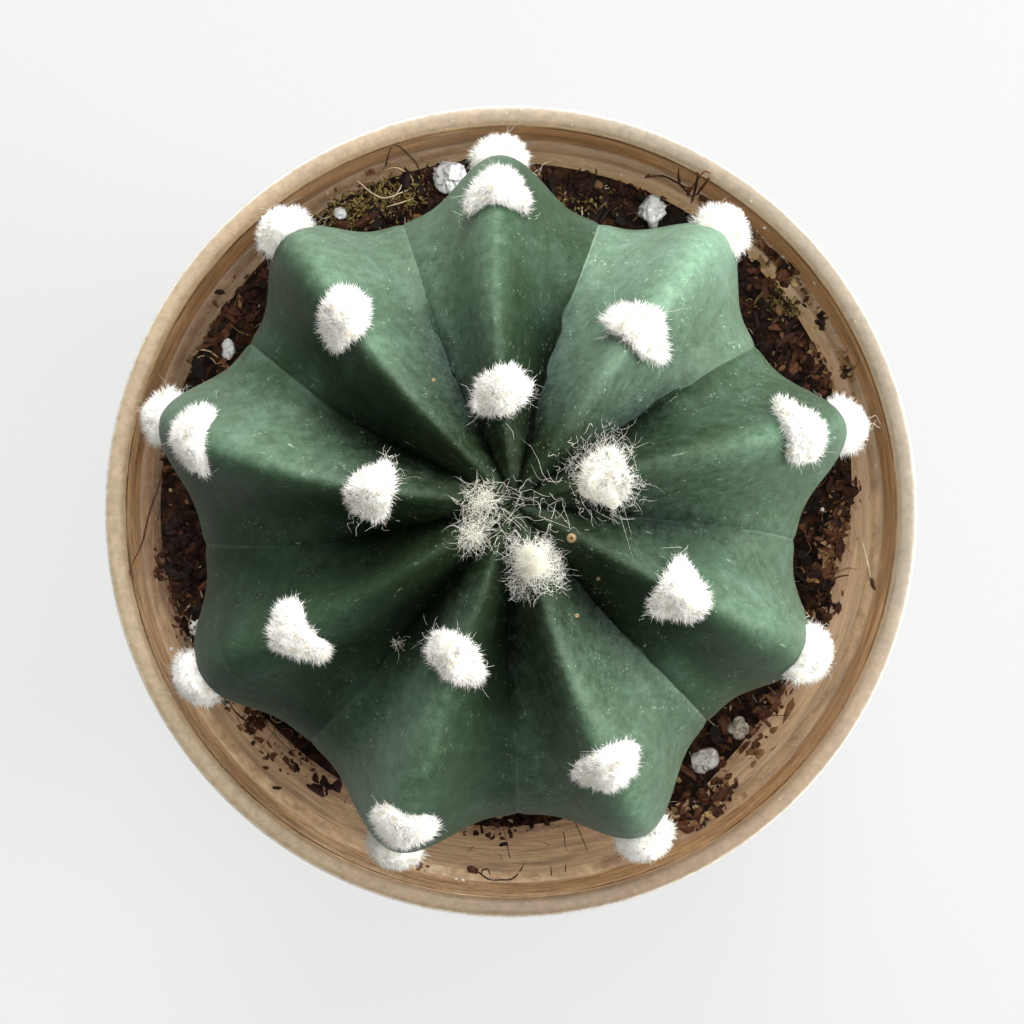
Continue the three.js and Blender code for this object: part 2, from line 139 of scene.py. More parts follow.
def new_material(name):
    """An empty material with a shader on its output: the material, its tree and the shader."""
    material = bpy.data.materials.new(name)
    material.use_nodes = True
    return material, material.node_tree, material.node_tree.nodes["Principled BSDF"]


def grid_faces(rows, columns):
    """Quads between neighbouring rows and columns of a grid whose last column meets the first."""
    row, column = np.meshgrid(np.arange(rows - 1), np.arange(columns), indexing="ij")
    here = row * columns + column
    beside = row * columns + (column + 1) % columns
    return np.stack([here, here + columns, beside + columns, beside], -1).reshape(-1, 4)


def new_mesh(name, points, faces, material, smooth=True, values={}, corners=None):
    """An object at the origin from points in millimetres and arrays of faces with three or four
    corners each. values are numbers at its points, and corners its map, also given at its points."""
    mesh = bpy.data.meshes.new(name)
    mesh.vertices.add(len(points))
    mesh.vertices.foreach_set("co", (points * MM).astype(np.float32).ravel())
    loops = np.concatenate([part.ravel() for part in faces]).astype(np.int32)
    sizes = np.concatenate([np.full(len(part), part.shape[1]) for part in faces])
    mesh.loops.add(len(loops))
    mesh.loops.foreach_set("vertex_index", loops)
    mesh.polygons.add(len(sizes))
    mesh.polygons.foreach_set("loop_start", (np.cumsum(sizes) - sizes).astype(np.int32))
    mesh.update(calc_edges=True)
    mesh.validate()
    mesh.polygons.foreach_set("use_smooth", np.full(len(mesh.polygons), smooth))
    for key, numbers in values.items():
        layer = mesh.attributes.new(key, "FLOAT", "POINT")
        layer.data.foreach_set("value", np.asarray(numbers, np.float32).ravel())
    if corners is not None:
        spread = mesh.uv_layers.new(name="surface")
        spread.data.foreach_set("uv", corners[loops].astype(np.float32).ravel())
    mesh.materials.append(material)
    piece = bpy.data.objects.new(name, mesh)
    scene.collection.objects.link(piece)
    return piece


board, tree, shader = new_material("opal_acrylic")
feed(shader, {"Base Color": TABLE_TONE, "Roughness": 0.85, "Emission Color": "#ffffff",
              "Emission Strength": TABLE_GLOW})
table_corners = TABLE_HALF * np.array([[-1, -1, 0], [1, -1, 0], [1, 1, 0], [-1, 1, 0]], float)
new_mesh("table", table_corners, [np.array([[0, 1, 2, 3]])], board)


# Pot: an 8.5 cm nursery pot, injection moulded in taupe polypropylene, with a rounded lip, a wide
# collar, a ledge inside it to stack on, a tapering wall, a foot ring and five drain holes.
POT_SEGMENTS = 200
POT_HEIGHT = 70
LIP_RADIUS = 42.5
LIP_INNER = 40.4
LINE_HEIGHT = 68.9
COLLAR_INNER = 39.9
COLLAR_BOTTOM = 59
LEDGE_HEIGHT = 60.5
LEDGE_INNER = 38.9
WALL_TOP = 40.2
WALL_FOOT = 30.5
FLOOR_TOP = 3.1
FLOOR_UNDERSIDE = 1.5
FLOOR_RADIUS = 29.2
FOOT_INNER = 27
DRAIN_RADIUS = 3
DRAIN_CIRCLE = 18
DRAIN_COUNT = 5


def wall_inside(z):
    """Radius of the pot's inner wall at a height: straight from the floor to the ledge, then to the lip."""
    below = FLOOR_RADIUS + (LEDGE_INNER - FLOOR_RADIUS) * (z - FLOOR_TOP) / (LEDGE_HEIGHT - 0.5 - FLOOR_TOP)
    above = COLLAR_INNER + (LIP_INNER - COLLAR_INNER) * (z - LEDGE_HEIGHT) / (POT_HEIGHT - LEDGE_HEIGHT)
    return np.where(np.asarray(z) < LEDGE_HEIGHT, below, above)


def arc(centre, radius, start, end, steps):
    """Points on a round corner of the profile, from one angle in degrees to another."""
    angle = np.radians(np.linspace(start, end, steps))
    return [(centre[0] + radius * np.cos(a), centre[1] + radius * np.sin(a)) for a in angle]


def straight(start, end, steps):
    """Points on a straight stretch of the profile, its last point left to what follows."""
    share = np.linspace(0, 1, steps + 1)[:-1]
    return [(start[0] + (end[0] - start[0]) * t, start[1] + (end[1] - start[1]) * t) for t in share]


pot_profile = np.array(
    straight((FOOT_INNER - 0.6, FLOOR_UNDERSIDE), (FOOT_INNER, 0.25), 2)
    + arc((FOOT_INNER + 0.5, 0.5), 0.5, 210, 270, 3)
    + arc((WALL_FOOT - 0.9, 0.8), 0.8, 270, 360, 5)
    + straight((WALL_FOOT + 0.02, 1.2), (WALL_TOP, COLLAR_BOTTOM - 0.9), 24)
    + arc((WALL_TOP + 0.8, COLLAR_BOTTOM - 0.8), 0.8, 180, 90, 4)
    + arc((LIP_RADIUS - 0.75, COLLAR_BOTTOM + 0.7), 0.7, 270, 355, 5)
    + straight((LIP_RADIUS - 0.05, COLLAR_BOTTOM + 1), (LIP_RADIUS, POT_HEIGHT - 1.0), 5)
    + arc((LIP_RADIUS - 0.8, POT_HEIGHT - 0.8), 0.8, 0, 78, 7)
    + [(LIP_RADIUS - 0.95, POT_HEIGHT - 0.02)]
    + arc((LIP_INNER + 0.62, POT_HEIGHT - 0.62), 0.5, 80, 172, 6)
    + [(LIP_INNER + 0.1, POT_HEIGHT - 1.0), (LIP_INNER + 0.02, POT_HEIGHT - 1.05)]
    + [(LIP_INNER - 0.06, LINE_HEIGHT + 0.03), (LIP_INNER - 0.1, LINE_HEIGHT - 0.05)]
    + [(LIP_INNER - 0.12, LINE_HEIGHT - 0.3)]
    + straight((LIP_INNER - 0.13, POT_HEIGHT - 1.6), (COLLAR_INNER, LEDGE_HEIGHT + 0.4), 12)
    + arc((COLLAR_INNER - 0.4, LEDGE_HEIGHT + 0.35), 0.4, 0, -80, 4)
    + arc((LEDGE_INNER + 0.35, LEDGE_HEIGHT - 0.65), 0.35, 80, 165, 4)
    + straight((LEDGE_INNER - 0.03, LEDGE_HEIGHT - 1.2), (FLOOR_RADIUS, FLOOR_TOP + 1), 30)
    + arc((FLOOR_RADIUS - 0.8, FLOOR_TOP + 0.8), 0.8, 0, -90, 5)
)
FLOOR_EDGE = FLOOR_RADIUS - 0.8


def turned(profile, columns):
    """Points of a profile of radius and height carried round the axis, one row for each of its points."""
    turn = np.linspace(0, 2 * np.pi, columns, endpoint=False)
    radius, height = profile[:, 0, None], profile[:, 1, None]
    rows = [radius * np.cos(turn), radius * np.sin(turn), height + 0 * turn]
    return np.stack(rows, -1)


def floor_sector(index):
    """One fifth of the pot's floor round its drain hole. Each point of the sector's outline is joined
    by a straight run to the hole's edge: out over the top, down the hole and back underneath."""
    span = 2 * np.pi / DRAIN_COUNT
    middle = span * index
    outer_turns = np.linspace(middle - span / 2, middle + span / 2, POT_SEGMENTS // DRAIN_COUNT + 1)
    inner_turns = outer_turns[::-4]
    side = np.linspace(0, 1, 14)[1:-1]
    hole = DRAIN_CIRCLE * np.array([np.cos(middle), np.sin(middle)])

    def border(edge):
        outer = edge * np.stack([np.cos(outer_turns), np.sin(outer_turns)], -1)
        inner = DRAIN_RADIUS * np.stack([np.cos(inner_turns), np.sin(inner_turns)], -1)
        left = outer[-1] + (inner[0] - outer[-1]) * side[:, None]
        right = inner[-1] + (outer[0] - inner[-1]) * side[:, None]
        return np.concatenate([outer, left, inner, right])

    rows = []
    faces_of_floor = ((FLOOR_EDGE, FLOOR_TOP, (1, 0.6, 0.25, 0)),
                      (FOOT_INNER - 0.6, FLOOR_UNDERSIDE, (0, 0.4, 1)))
    for edge, z, runs in faces_of_floor:
        rim = border(edge)
        towards = rim - hole
        round_hole = hole + DRAIN_RADIUS * towards / np.linalg.norm(towards, axis=1, keepdims=True)
        for run in runs:
            flat = round_hole + (rim - round_hole) * run
            rows.append(np.column_stack([flat, np.full(len(flat), z)]))
    grid = np.array(rows)
    faces = grid_faces(len(rows), grid.shape[1])
    inner_from = len(outer_turns) + len(side)
    top = inner_from + np.arange(len(inner_turns) - 1)
    below = top + (len(rows) - 1) * grid.shape[1]
    middle_hole = np.stack([top, top + 1, below + 1, below], -1)
    return grid.reshape(-1, 3), [faces, middle_hole]


def join(parts):
    """Several (points, list of face arrays) as one, with the faces counted on."""
    points, faces, base = [], [], 0
    for some, of_them in parts:
        points.append(some)
        faces += [part + base for part in of_them]
        base += len(some)
    return np.concatenate(points), faces


def weld(points, faces):
    """The same surface with points that share a place made one."""
    _, first, back = np.unique(np.round(points, 4), axis=0, return_index=True, return_inverse=True)
    return points[first], [back.ravel()[part] for part in faces]


pot_wall = turned(pot_profile, POT_SEGMENTS)
wall_part = (pot_wall.reshape(-1, 3), [grid_faces(len(pot_profile), POT_SEGMENTS)[:, ::-1]])
# The outline of each floor sector starts half a sector before its hole, at a whole wall segment
pot_points, pot_faces = weld(*join([wall_part] + [floor_sector(i) for i in range(DRAIN_COUNT)]))

# Height of the mix along the wall, at azimuths in degrees from the right of the picture; above it the
# wall is soiled
MIX_HEIGHTS = [(-90, 43.5), (-78, 42), (-68, 44), (-62, 51), (-57, 53), (-51, 50), (-44, 48), (-36, 47),
               (-20, 47), (-9, 48.5), (0, 53), (10, 55), (50, 56), (85, 56.5), (100, 58.7), (125, 59),
               (140, 57.6), (180, 57.4), (195, 56.5), (204, 54.5), (213, 48), (222, 45.5), (240, 44.5),
               (270, 43.5)]
SOILED_HEIGHT = 7
# The fine line of painted shade under the lip: its half width; how strongly the ledge is lined with
# painted shade; how much darker the whole wall below the ledge is made; and the radius from which the
# rim's outer edge carries a painted highlight
LINE_HALF_WIDTH = 0.051
LEDGE_LINE = 0.2
DARKER_BELOW_LEDGE = 0.3
RIM_HIGHLIGHT_RADIUS = 42.15

# Polypropylene as moulded: satin, with dust and earth smeared round its inside in level streaks.
# Light and shade are painted on it: outside it is painted lighter towards the lower left and darker
# towards the bottom of the picture, inside it has painted lit and shaded tones round the pot, a painted
# highlight runs along the outer edge of its rim, and fine lines of painted shade lie under the lip and
# on the ledge
POT_PAINTED_LIGHT = "#b59b7d"
POT_TAUPE = "#746a5c"
POT_PAINTED_SHADE = "#806c58"
# Painted lit and shaded tones of the plastic inside the pot
POT_SHADY = "#7a6449"
POT_MIDDLE = "#a88c6e"
POT_SUNNY = "#e6bb95"
POT_SMEAR = "#5e4634"
POT_DIRT = "#4a3322"
POT_LINE = "#2b2018"
POT_DUST = "#b3a999"
POT_RIM_HIGHLIGHT = "#f3ebdd"

plastic, tree, shader = new_material("moulded_polypropylene")
place = node(tree, "TexCoord").outputs["Object"]
# Painted light: the outside of the pot is painted lighter towards the lower left
painted_light_side = node(tree, "VectorMath", (place, (-0.87, -0.5, 0)), operation="DOT_PRODUCT").outputs["Value"]
painted_light_outside = node(tree, "MapRange", (painted_light_side, -0.045, 0.045))
mottle = node(tree, "TexNoise", {"Vector": place, "Scale": 1 / (9 * MM), "Detail": 4.0})
cloudy = node(tree, "MixRGB", (0.3, painted_light_outside, mottle))
body = node(tree, "ValToRGB", {"Fac": cloudy}, stops=((0.25, POT_TAUPE), (0.8, POT_PAINTED_LIGHT)))
# Painted shade: the outside of the pot is painted darker towards the bottom of the picture
near_side = node(tree, "VectorMath", (place, (0.3, -0.95, 0)), operation="DOT_PRODUCT").outputs["Value"]
painted_shade_near_side = node(tree, "MapRange", (near_side, 0.022, 0.04, 0, 0.95))
outer = node(tree, "MixRGB", (painted_shade_near_side, body, POT_PAINTED_SHADE))
level = node(tree, "Mapping", {"Vector": place, "Scale": (240, 240, 800)})
inside = node(tree, "Attribute", attribute_name="inside").outputs["Fac"]
# Painted light and shade inside: lit and shaded tones of the plastic round the pot, shady towards the upper
# right and sunny towards the lower left
painted_light_facing = node(tree, "VectorMath", (place, (-0.6, -0.8, 0)),
                       operation="DOT_PRODUCT").outputs["Value"]
painted_light_inside = node(tree, "MapRange", (painted_light_facing, -0.042, 0.03))
blurred = node(tree, "MixRGB", (0.25, painted_light_inside, mottle))
inner_tone = node(tree, "ValToRGB", {"Fac": blurred},
                  stops=((0.1, POT_SHADY), (0.55, POT_MIDDLE), (0.95, POT_SUNNY)))
lit = node(tree, "MixRGB", (inside, outer, inner_tone))
streaks = node(tree, "TexNoise", {"Vector": level, "Scale": 1.0, "Detail": 6.0, "Roughness": 0.65,
                                  "Distortion": 0.6})
soiled = node(tree, "MapRange", (streaks, 0.44, 0.68, 0, 0.6))
smear = node(tree, "Math", (soiled, inside), operation="MULTIPLY")
smeared = node(tree, "MixRGB", (smear, lit, POT_SMEAR))
speckle = node(tree, "TexNoise", {"Vector": place, "Scale": 1 / (0.9 * MM), "Detail": 6.0,
                                  "Roughness": 0.7})
speckled = node(tree, "MapRange", (speckle, 0.36, 0.64, 0.82, 1.16))
marbled = node(tree, "VectorMath", {0: smeared, "Scale": speckled}, operation="SCALE")
stained = node(tree, "Mapping", {"Vector": place, "Scale": (70, 70, 500)})
stains = node(tree, "TexNoise", {"Vector": stained, "Scale": 1.0, "Detail": 5.0, "Roughness": 0.6,
                                 "Distortion": 1.2})
stain = node(tree, "MapRange", (stains, 0.38, 0.62, 1.18, 0.7))
stain_there = node(tree, "MixRGB", (inside, (1, 1, 1, 1), stain))
clouded = node(tree, "VectorMath", (marbled, stain_there), operation="MULTIPLY")
dirt = node(tree, "Attribute", attribute_name="dirt").outputs["Fac"]
washed = node(tree, "MapRange", (speckle, 0.35, 0.6, 0.3, 1.0))
dirt_there = node(tree, "Math", (dirt, washed), operation="MULTIPLY")
soiled_wall = node(tree, "MixRGB", (dirt_there, clouded, POT_DIRT))
# Painted shade: a fine dark line under the lip, as shade in its groove, and a fainter one along the ledge
line = node(tree, "Attribute", attribute_name="line").outputs["Fac"]
line_unevenness = node(tree, "MapRange", (mottle, 0.4, 0.56, 0.4, 0.95))
line_there = node(tree, "Math", (line, line_unevenness), operation="MULTIPLY")
lined = node(tree, "MixRGB", (line_there, soiled_wall, POT_LINE))
dust = node(tree, "TexVoronoi", {"Vector": place, "Scale": 1 / (1.6 * MM)})
grains = node(tree, "MapRange", (dust, 0.1, 0.05, 0, 0.5))
dusty = node(tree, "MixRGB", (grains, lined, POT_DUST))
# Painted highlight: a pale line along the outer edge of the rim, carried by the edge attribute and broken
# up by speckle
edge = node(tree, "Attribute", attribute_name="edge").outputs["Fac"]
highlight_broken = node(tree, "MapRange", (speckle, 0.35, 0.6, 0.35, 0.8))
highlight_there = node(tree, "Math", (edge, highlight_broken), operation="MULTIPLY")
highlighted = node(tree, "MixRGB", (highlight_there, dusty, POT_RIM_HIGHLIGHT))
gloss = node(tree, "MapRange", (mottle, 0, 1, 0.34, 0.56))
polish = node(tree, "MapRange", (inside, 0, 1, 0.5, 0.12))
grain = node(tree, "TexNoise", {"Vector": place, "Scale": 1 / (0.35 * MM), "Detail": 3.0})
relief = node(tree, "Bump", {"Height": grain, "Strength": 0.12, "Distance": 0.1 * MM})
feed(shader, {"Base Color": highlighted, "Roughness": gloss, "IOR": 1.49, "Specular IOR Level": polish,
              "Subsurface Weight": 1.0, "Subsurface Radius": (1.0, 0.9, 0.8),
              "Subsurface Scale": 15 * MM, "Normal": relief})

pot_radius = np.hypot(pot_points[:, 0], pot_points[:, 1])
inner_side = wall_inside(pot_points[:, 2]) + np.where(pot_points[:, 2] > LEDGE_HEIGHT, 0.15, 0.8)
pot_inside = (pot_radius < inner_side) & (pot_points[:, 2] > FLOOR_TOP - 0.1)
# Painted shade lines: a fine one just under the lip and a fainter one on the ledge's edge
on_line = (np.abs(pot_points[:, 2] - LINE_HEIGHT) < LINE_HALF_WIDTH) * (pot_radius < LIP_INNER)
from_ledge = np.abs(pot_points[:, 2] - (LEDGE_HEIGHT - 0.1))
on_ledge = LEDGE_LINE * np.clip(1 - from_ledge / 0.3, 0, 1) * (pot_radius < COLLAR_INNER + 0.05)
pot_line = np.maximum(1.0 * on_line, on_ledge)
pot_azimuth = np.degrees(np.arctan2(pot_points[:, 1], pot_points[:, 0]))
above_mix = pot_points[:, 2] - np.interp((pot_azimuth + 450) % 360 - 90, *zip(*MIX_HEIGHTS))
# The whole inner wall below the ledge is made darker by a fixed share
below_ledge = DARKER_BELOW_LEDGE * (pot_points[:, 2] < LEDGE_HEIGHT - 0.8)
pot_dirt = np.maximum(np.clip(1 - above_mix / SOILED_HEIGHT, 0, 1), below_ledge) * pot_inside
# The outer edge of the rim's top, which carries the painted highlight
on_rim = np.clip((pot_points[:, 2] - POT_HEIGHT + 0.75) / 0.2, 0, 1)
pot_rim_highlight = np.clip((pot_radius - RIM_HIGHLIGHT_RADIUS) / 0.2, 0, 1) * on_rim
pot = new_mesh("nursery_pot", pot_points, pot_faces, plastic,
               values={"inside": pot_inside, "line": pot_line, "dirt": pot_dirt, "edge": pot_rim_highlight})
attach(pot, "root")
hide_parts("pot")


# Stem: one grown body with nine ribs and a sunken crown. Its living skin is stretched over the
# ribs and folds sharply where two of them meet; below the mix it narrows to a neck and a root.
STEM_TOP = 100
STEM_AXIS = (-1.1, 0.3)
CROWN_SHIFT = (1.4, 0.5)
SHIFT_FADES = (24, 48)
CREST_SLOPES = [(0, -30), (6, -14), (12, 2), (24, 21), (34, 50), (46, 90), (60, 99), (72, 104),
                (78, 150), (90, 150), (102, 112), (116, 96)]
CREST_END = CREST_SLOPES[-1][0]
CREST_STEP = 0.5
RIB_AZIMUTHS = np.array([90, 51.4, 13.4, -25.8, -66, -107.4, -151, -195, -232])
RIB_CURLS = np.array([7, 4, 2, -3, -8, -3, 3.5, 11, 7])
RIB_REACHES = np.array([1.0, 1.006, 1.006, 0.962, 1.018, 1.02, 0.98, 1.0, 0.996])
RIB_COUNT = len(RIB_AZIMUTHS)
CURL_FADES = (8, 48)
GROOVE_DEPTHS = [(0, 0), (4, 0.8), (10, 4.2), (16, 7.3), (22, 7.2), (34, 6.2), (46, 4.8), (68, 4.2),
                 (88, 0)]
GROOVE_BLEND = 4
RIDGE_ROUNDING = [(0, 2.5), (6, 1.95), (14, 0.9), (22, 0.45), (30, 0.6), (116, 0.6)]
FLANK_POWER = 3.3
FLANK_FADES = (-6, 28)
CREST_BULGE = 0.2
CREASE_DEPTHS = [(0, 0), (5, 0.45), (22, 0.45), (32, 0.35), (48, 0.3), (70, 0), (116, 0)]
CREASE_WIDTH = 0.06
SKIN_WAVES = 0.08
STEM_ROWS = 156
STEM_MIDDLE = 62
STEM_LENGTH = 115.5
SEAM_WOBBLE = 0.028
RIB_COLUMNS = 48

AREOLE_COUNT = 31
AREOLE_START = 2.6
AREOLE_STEP_CROWN = 2.27
AREOLE_STEP_SIDE = 1.75
AREOLES_ON_CROWN = 14
AREOLE_NUDGES = {2: -0.8, 4: -0.6, 9: 1.8, 14: -0.8, 15: -1, 16: 2.6, 17: 2.2, 18: 1, 19: 1, 20: 1.3,
                 21: 0.8, 24: -1.2}


def smoothstep(x, low, high):
    """0 below low and 1 above high, joined by a smooth curve."""
    t = np.clip((np.asarray(x, float) - low) / (high - low), 0, 1)
    return t * t * (3 - 2 * t)


def noise(points, seed, size):
    """Smooth noise from -1 to 1: a random number at each corner of cells of one size, eased between."""
    scaled = np.asarray(points, float) / size
    cell = np.floor(scaled).astype(np.int64)
    ease = scaled - cell
    ease = ease * ease * (3 - 2 * ease)
    total = 0
    for corner in np.ndindex(2, 2, 2):
        at = cell + np.array(corner)
        x, y, z = at[..., 0], at[..., 1], at[..., 2]
        bits = (x * 73856093) ^ (y * 19349663) ^ (z * 83492791) ^ (seed * 9176131)
        bits = ((bits ^ (bits >> 13)) * 1274126177) & 0xFFFFFFFF
        value = ((bits ^ (bits >> 16)) & 0xFFFF) / 32767.5 - 1
        total = total + value * np.prod(np.where(np.array(corner) == 1, ease, 1 - ease), -1)
    return total


def areole_length(k):
    """Length along the crest at which an areole lies, counted from the crown."""
    on_crown = min(k, AREOLES_ON_CROWN)
    side = (k - on_crown) * AREOLE_STEP_SIDE
    return AREOLE_START + on_crown * AREOLE_STEP_CROWN + side + AREOLE_NUDGES.get(k, 0)


def areole_rib(k):
    """The rib that carries an areole: each lies on the rib two before the last one's."""
    return (RIB_COUNT - 1 - 2 * k) % RIB_COUNT


def draw_crest():
    """Rows of length, radius, height and slope along a crest, by walking down its slope in short steps."""
    lengths = np.arange(0, CREST_END + CREST_STEP / 2, CREST_STEP)
    slopes = np.radians(np.interp(lengths + CREST_STEP / 2, *zip(*CREST_SLOPES)))
    radius = np.concatenate([[0], np.cumsum(np.cos(slopes) * CREST_STEP)[:-1]])
    height = -np.concatenate([[0], np.cumsum(np.sin(slopes) * CREST_STEP)[:-1]])
    return lengths, radius, height + STEM_TOP - height.max(), slopes


CREST = draw_crest()
groove_lengths = np.arange(-GROOVE_BLEND, 120, CREST_STEP)
groove_depths = np.interp(groove_lengths, *zip(*GROOVE_DEPTHS))
blend_steps = int(GROOVE_BLEND / CREST_STEP)
blend_share = np.ones(blend_steps + 1) / (blend_steps + 1)
groove_smooth = np.convolve(np.pad(groove_depths, blend_steps // 2, mode="edge"), blend_share, "valid")


def swell(rib, s):
    """How far the crest swells between one areole and the next on its rib, from 0 to 1."""
    total = np.zeros_like(s)
    for number in range(RIB_COUNT):
        marks = [areole_length(k) for k in range(AREOLE_COUNT + RIB_COUNT) if areole_rib(k) == number]
        marks = [marks[0] - AREOLE_STEP_CROWN * RIB_COUNT] + marks
        for start, end in zip(marks, marks[1:]):
            here = (rib == number) & (s >= start) & (s < end)
            t = np.clip((s - start) / (end - start), 0, 1)
            total = np.where(here, np.sin(np.pi * t ** 0.85) ** 2, total)
    return total * smoothstep(s, 4, 16)


def stem_point(s, u):
    """The skin at length s along the crest and rib position u, a whole number on a crest and a half on
    the floor of a groove: the crest's own curve, sunk by the groove's depth times one less the rib's
    profile, with a sharp crease on the floor, and turned to the azimuth between the two ribs. The
    profile is a hyperbola on the crown, two flat flanks that meet in a rounded ridge, and a power of a
    cosine further down."""
    s, u = np.broadcast_arrays(np.asarray(s, float), np.asarray(u, float))
    nearest = np.floor(u + 0.5)
    rib = nearest.astype(int) % RIB_COUNT
    side = u - nearest
    neighbour = (rib + np.where(side < 0, RIB_COUNT - 1, 1)) % RIB_COUNT
    share = 2 * np.abs(side)
    curl = 1 - smoothstep(s, *CURL_FADES)
    mine = RIB_AZIMUTHS[rib] + RIB_CURLS[rib] * curl
    gap = RIB_AZIMUTHS[neighbour] + RIB_CURLS[neighbour] * curl - mine
    gap = gap - 360 * np.round(gap / 360)
    azimuth = np.radians(mine + gap * share / 2)
    reach = RIB_REACHES[rib] + (RIB_REACHES[neighbour] - RIB_REACHES[rib]) * share / 2

    radius, height, slope = (np.interp(s, CREST[0], row) for row in CREST[1:])
    rounding = np.interp(s, *zip(*RIDGE_ROUNDING))
    crown = 1 - (np.hypot(share, rounding) - rounding) / (np.hypot(1, rounding) - rounding)
    flank = np.abs(np.cos(np.pi * share / 2)) ** FLANK_POWER
    rise = crown + (flank - crown) * smoothstep(s, *FLANK_FADES)
    sunk = np.interp(s, groove_lengths, groove_smooth) * (1 - rise)
    inward = sunk - CREST_BULGE * swell(rib, s) * rise ** 1.5
    crease = np.interp(s, *zip(*CREASE_DEPTHS))
    inward = inward + crease * np.exp(-(1 - share) / CREASE_WIDTH)

    across = (radius - np.sin(slope) * inward) * (1 + (reach - 1) * smoothstep(s, 8, 40))
    shift = 1 - smoothstep(s, *SHIFT_FADES)
    x = STEM_AXIS[0] + CROWN_SHIFT[0] * shift + across * np.cos(azimuth)
    y = STEM_AXIS[1] + CROWN_SHIFT[1] * shift + across * np.sin(azimuth)
    return np.stack([x, y, height - np.cos(slope) * inward], -1)


def shell(rings, top, bottom):
    """A closed surface over rows of points, from one point at the top to one at the bottom."""
    rows, columns = rings.shape[:2]
    points = np.concatenate([rings.reshape(-1, 3), [top], [bottom]])
    here = np.arange(columns)
    beside = (here + 1) % columns
    cap = np.stack([np.full(columns, rows * columns), here, beside], -1)
    low = (rows - 1) * columns
    foot = np.stack([low + here, np.full(columns, rows * columns + 1), low + beside], -1)
    return points, [grid_faces(rows, columns), cap, foot]


# Columns crowd towards the crease, where the skin turns fastest
even = np.linspace(-1, 1, RIB_COLUMNS, endpoint=False)
rib_columns = np.sin(even * np.pi / 2) * 0.7 + even * 0.3
stem_columns = np.concatenate([rib + 0.5 * -rib_columns for rib in range(RIB_COUNT - 1, -1, -1)])
row_shares = np.linspace(0.004, 1, STEM_ROWS)
stem_lengths = STEM_LENGTH * (0.62 * row_shares + 0.38 * row_shares ** 3)
length_grid, column_grid = np.meshgrid(stem_lengths, stem_columns, indexing="ij")
wobble_at = np.stack([length_grid, column_grid * 0, np.round(column_grid + 0.5) * 7.3], -1)
wobble = SEAM_WOBBLE * noise(wobble_at, 5, 2.2) * smoothstep(length_grid, 2, 8)
wobble = wobble * (1 - smoothstep(length_grid, 22, 34))
nearness = np.clip(1 - np.abs(column_grid - np.floor(column_grid) - 0.5) / 0.12, 0, 1)
skin = stem_point(length_grid, column_grid + wobble * nearness)
outward = skin - np.array([STEM_AXIS[0], STEM_AXIS[1], STEM_MIDDLE])
outward /= np.linalg.norm(outward, axis=-1, keepdims=True)
skin = skin + outward * (SKIN_WAVES * (noise(skin, 1, 5.5) + 0.45 * noise(skin, 2, 1.9)))[..., None]
stem_tip = stem_point(CREST_END, 0)
stem_points, stem_faces = shell(skin, stem_point(0.0, 0),
                                np.array([STEM_AXIS[0], STEM_AXIS[1], stem_tip[2] - 2]))
stem_share = np.append(2 * np.abs(column_grid - np.floor(column_grid + 0.5)).ravel(), [1, 0])
stem_along = np.append(length_grid.ravel(), [0, CREST_END])

# Painted light and shade: how much lighter or darker the two flanks of each rib are painted as the
# light falls on them, the one nearer the rib before it first
FLANK_PAINTED_LIGHT = np.array([(1.6, 0.95), (2.35, 2.1), (1.05, 1.45), (1.55, 0.88), (1.45, 1.15), (0.9, 1.75),
                        (0.62, 0.84), (0.8, 1.6), (0.84, 1.75)])
# The same beside the groove
GROOVE_PAINTED_LIGHT = np.array([(1.5, 0.95), (2.1, 1.75), (1.05, 1.25), (1.35, 0.88), (1.35, 1.1), (0.82, 0.88),
                         (0.62, 0.8), (0.8, 1.0), (0.7, 1.7)])
# Lengths over which the painted light fades in below the crown, and over which it then fades to the paler
# wax of the lower sides, which keep a quarter of it
BLOOM_AND_PAINTED_LIGHT_FADES = (5, 18, 38, 52)
SIDE_BLOOM = 1.25
towards_next = smoothstep(column_grid - np.floor(column_grid + 0.5), -0.1, 0.1)
rib_grid = np.floor(column_grid + 0.5).astype(int) % RIB_COUNT
by_groove = smoothstep(2 * np.abs(column_grid - np.floor(column_grid + 0.5)), 0.3, 0.9)[..., None]
both_flanks = FLANK_PAINTED_LIGHT[rib_grid] * (1 - by_groove) + GROOVE_PAINTED_LIGHT[rib_grid] * by_groove
bloom_and_painted_light_grid = both_flanks[..., 0] * (1 - towards_next) + both_flanks[..., 1] * towards_next
fade_in, fade_out = (smoothstep(length_grid, *BLOOM_AND_PAINTED_LIGHT_FADES[i:i + 2]) for i in (0, 2))
bloom_and_painted_light_grid = 1 + (bloom_and_painted_light_grid - 1) * fade_in
bloom_and_painted_light_grid = bloom_and_painted_light_grid + (SIDE_BLOOM + 0.25 * (bloom_and_painted_light_grid - SIDE_BLOOM) - bloom_and_painted_light_grid) * fade_out
stem_bloom_and_painted_light = np.append(bloom_and_painted_light_grid.ravel(), [1, 1])
stem_map = np.stack([np.append(column_grid.ravel() * 12, [0, 0]), stem_along], -1)

